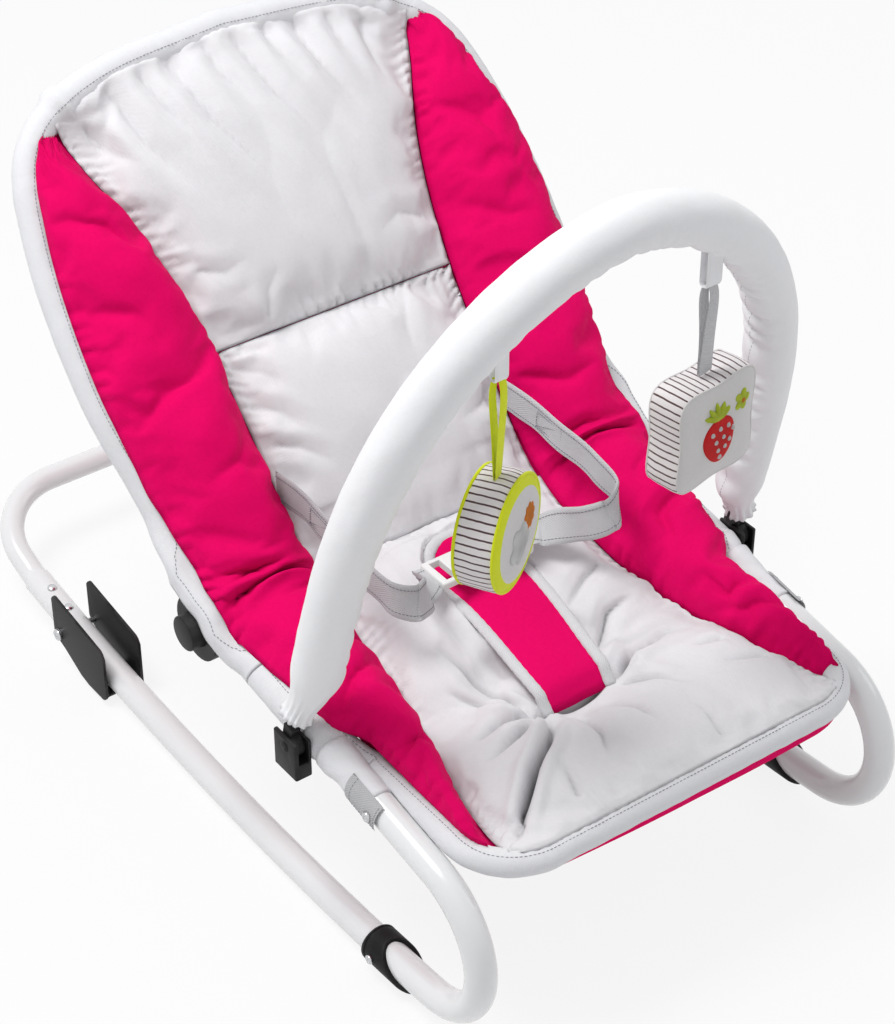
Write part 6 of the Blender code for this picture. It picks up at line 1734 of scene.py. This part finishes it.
def patch(parts, name, outline_of, lift, material, points=28):
    """An embroidered patch that follows the stuffed face. outline_of gives (across, up) by angle."""
    toy, centre, beside, front, power = parts
    outline = [outline_of(2 * pi * j / points) for j in range(points)]
    middle = [sum(place) / points for place in zip(*outline)]
    domed = [(s, lift * (1 - s ** 5) + 0.0004) for s in (0.05, 0.3, 0.55, 0.78, 0.92, 1.0)]
    rings = []
    for share, rise in domed + [(1.0, -0.0006), (0.05, -0.0006)]:
        ring = []
        for place in outline:
            a, b = (m + (p - m) * share for m, p in zip(middle, place))
            depth = np.interp(hypot(a, b) / toy_reach(atan2(b, a), power), *zip(*PROFILE))
            ring.append(centre + beside * a + Vector((0, 0, b)) + front * (float(depth) + rise))
        rings.append(ring)
    finished(f"{toy}_{name}", woven_mesh(rings, tube=True), toy, material, smooth=180)


def oval(x, y, wide, high, turn=0.0, point=0.0):
    c, s = cos(radians(turn)), sin(radians(turn))

    def outline_at(angle):
        a = wide * cos(angle) * (1 + point * sin(angle))
        b = high * sin(angle)
        return x + a * c - b * s, y + a * s + b * c
    return outline_at


def lobes(x, y, r, count, depth, turn=0.0):
    def outline_at(angle):
        reach = r * (1 + depth * abs(cos(count * angle / 2 + turn)) - depth / 2)
        return x + reach * cos(angle), y + reach * sin(angle)
    return outline_at


white_thread = embroidery("white_embroidery", (0.84, 0.84, 0.83), (0.66, 0.66, 0.66))
orange_thread = embroidery("orange_embroidery", (0.85, 0.25, 0.02), (0.62, 0.15, 0.01))
red_thread = embroidery("red_embroidery", (0.80, 0.010, 0.012), (0.55, 0.005, 0.006))
leaf_thread = embroidery("leaf_embroidery", (0.62, 0.74, 0.05), (0.38, 0.50, 0.02))

round_toy = toy_parts("round_toy", -0.100, -0.261575, 0.386092, 30.0, 2.0)
toy_body(round_toy, lime_cloth, face_cloth, 4.0)
patch(round_toy, "sun", lobes(0.011, 0.010, 0.0095, 9, 0.22), 0.0008, orange_thread, 54)
patch(round_toy, "cloud", lobes(-0.006, -0.004, 0.0150, 5, 0.34, 0.6), 0.0013, white_thread, 50)

square_toy = toy_parts("square_toy", 0.088, -0.263731, 0.402071, 8.8, 5.0)
toy_body(square_toy, face_cloth, face_cloth, 8.0)
patch(square_toy, "berry", oval(-0.003, -0.005, 0.0165, 0.0205, 12, 0.22), 0.0014, red_thread, 40)
BERRY_SEEDS = ((-0.0125, 0.004), (-0.0045, 0.0065), (0.0045, 0.006), (0.0105, 0.001), (-0.0085, -0.004),
               (-0.0005, -0.002), (0.0065, -0.007), (-0.0055, -0.0125), (0.002, -0.0115), (-0.0025, -0.0195))
for n, (a, b) in enumerate(BERRY_SEEDS):
    patch(square_toy, f"seed_{n}", oval(a, b, 0.0022, 0.0024), 0.0024, white_thread, 14)
for n, turn in enumerate((-70, -36, 0, 36, 70)):
    a, b = -0.0065 + 0.0070 * sin(radians(turn)), 0.0165 + 0.0045 * cos(radians(turn))
    patch(square_toy, f"leaf_{n}", oval(a, b, 0.0026, 0.0078, -turn, -0.2), 0.0021, leaf_thread, 20)
patch(square_toy, "flower", lobes(0.022, 0.019, 0.0074, 5, 0.5), 0.0009, leaf_thread, 40)
patch(square_toy, "flower_eye", oval(0.022, 0.019, 0.0024, 0.0024), 0.0017, orange_thread, 14)

TAB_HALF = 0.0038
for parts, pivot_z, width, material, slot in (
        (round_toy, 0.512092, 0.012, lime_cloth, "lime_cloth"),
        (square_toy, 0.520071, 0.015, strap_cloth, "strap_cloth")):
    toy, centre, beside, front, power = parts
    x, y = centre.xy
    bar_z = min(arch, key=lambda p: abs(p.x - x)).z
    down = [bar_z - 0.012, *np.linspace(bar_z - 0.016, pivot_z + 0.005, 6)]
    tab = [Vector((x, y + TAB_HALF, z)) for z in down]
    tab += [Vector((x, y + TAB_HALF * cos(a), pivot_z + 0.0045 - TAB_HALF * sin(a)))
            for a in np.linspace(0.3, pi - 0.3, 7)]
    tab += [Vector((x, y - TAB_HALF, z)) for z in down[::-1]]
    cloth_loop(toy + "_tab", tab, [Vector((1, 0, 0))] * len(tab), [width] * len(tab), 0.0013, "toy_bar",
               white_cloth)
    foot_z = centre.z + 0.045 - 0.0015
    strands, ways, widths = [], [], []
    for n in range(41):
        t = n / 40
        leg = abs(2 * t - 1)
        z = foot_z + (pivot_z + 0.0020 - foot_z) * sin(pi / 2 * min((1 - leg) * 1.06, 1.0)) ** 0.92
        bow = (0.0032 * sin(pi * (1 - leg)) ** 0.8 + 0.0006) * (0.35 if abs(t - 0.5) < 0.03 else 1)
        sideways = 0.0016 * sin(2.4 * pi * (1 - leg)) * (1 if t < 0.5 else -0.6)
        strands.append(Vector((x, y, z)) + front * (bow if t > 0.5 else -bow) + beside * sideways)
        ways.append(beside.lerp(Vector((1, 0, 0)), 1 - leg).normalized())
        widths.append(width * (0.52 + 0.48 * leg ** 1.5))
    cloth_loop(toy + "_strand", strands, ways, widths, 0.0011, toy, material, [toy + "_tape"])
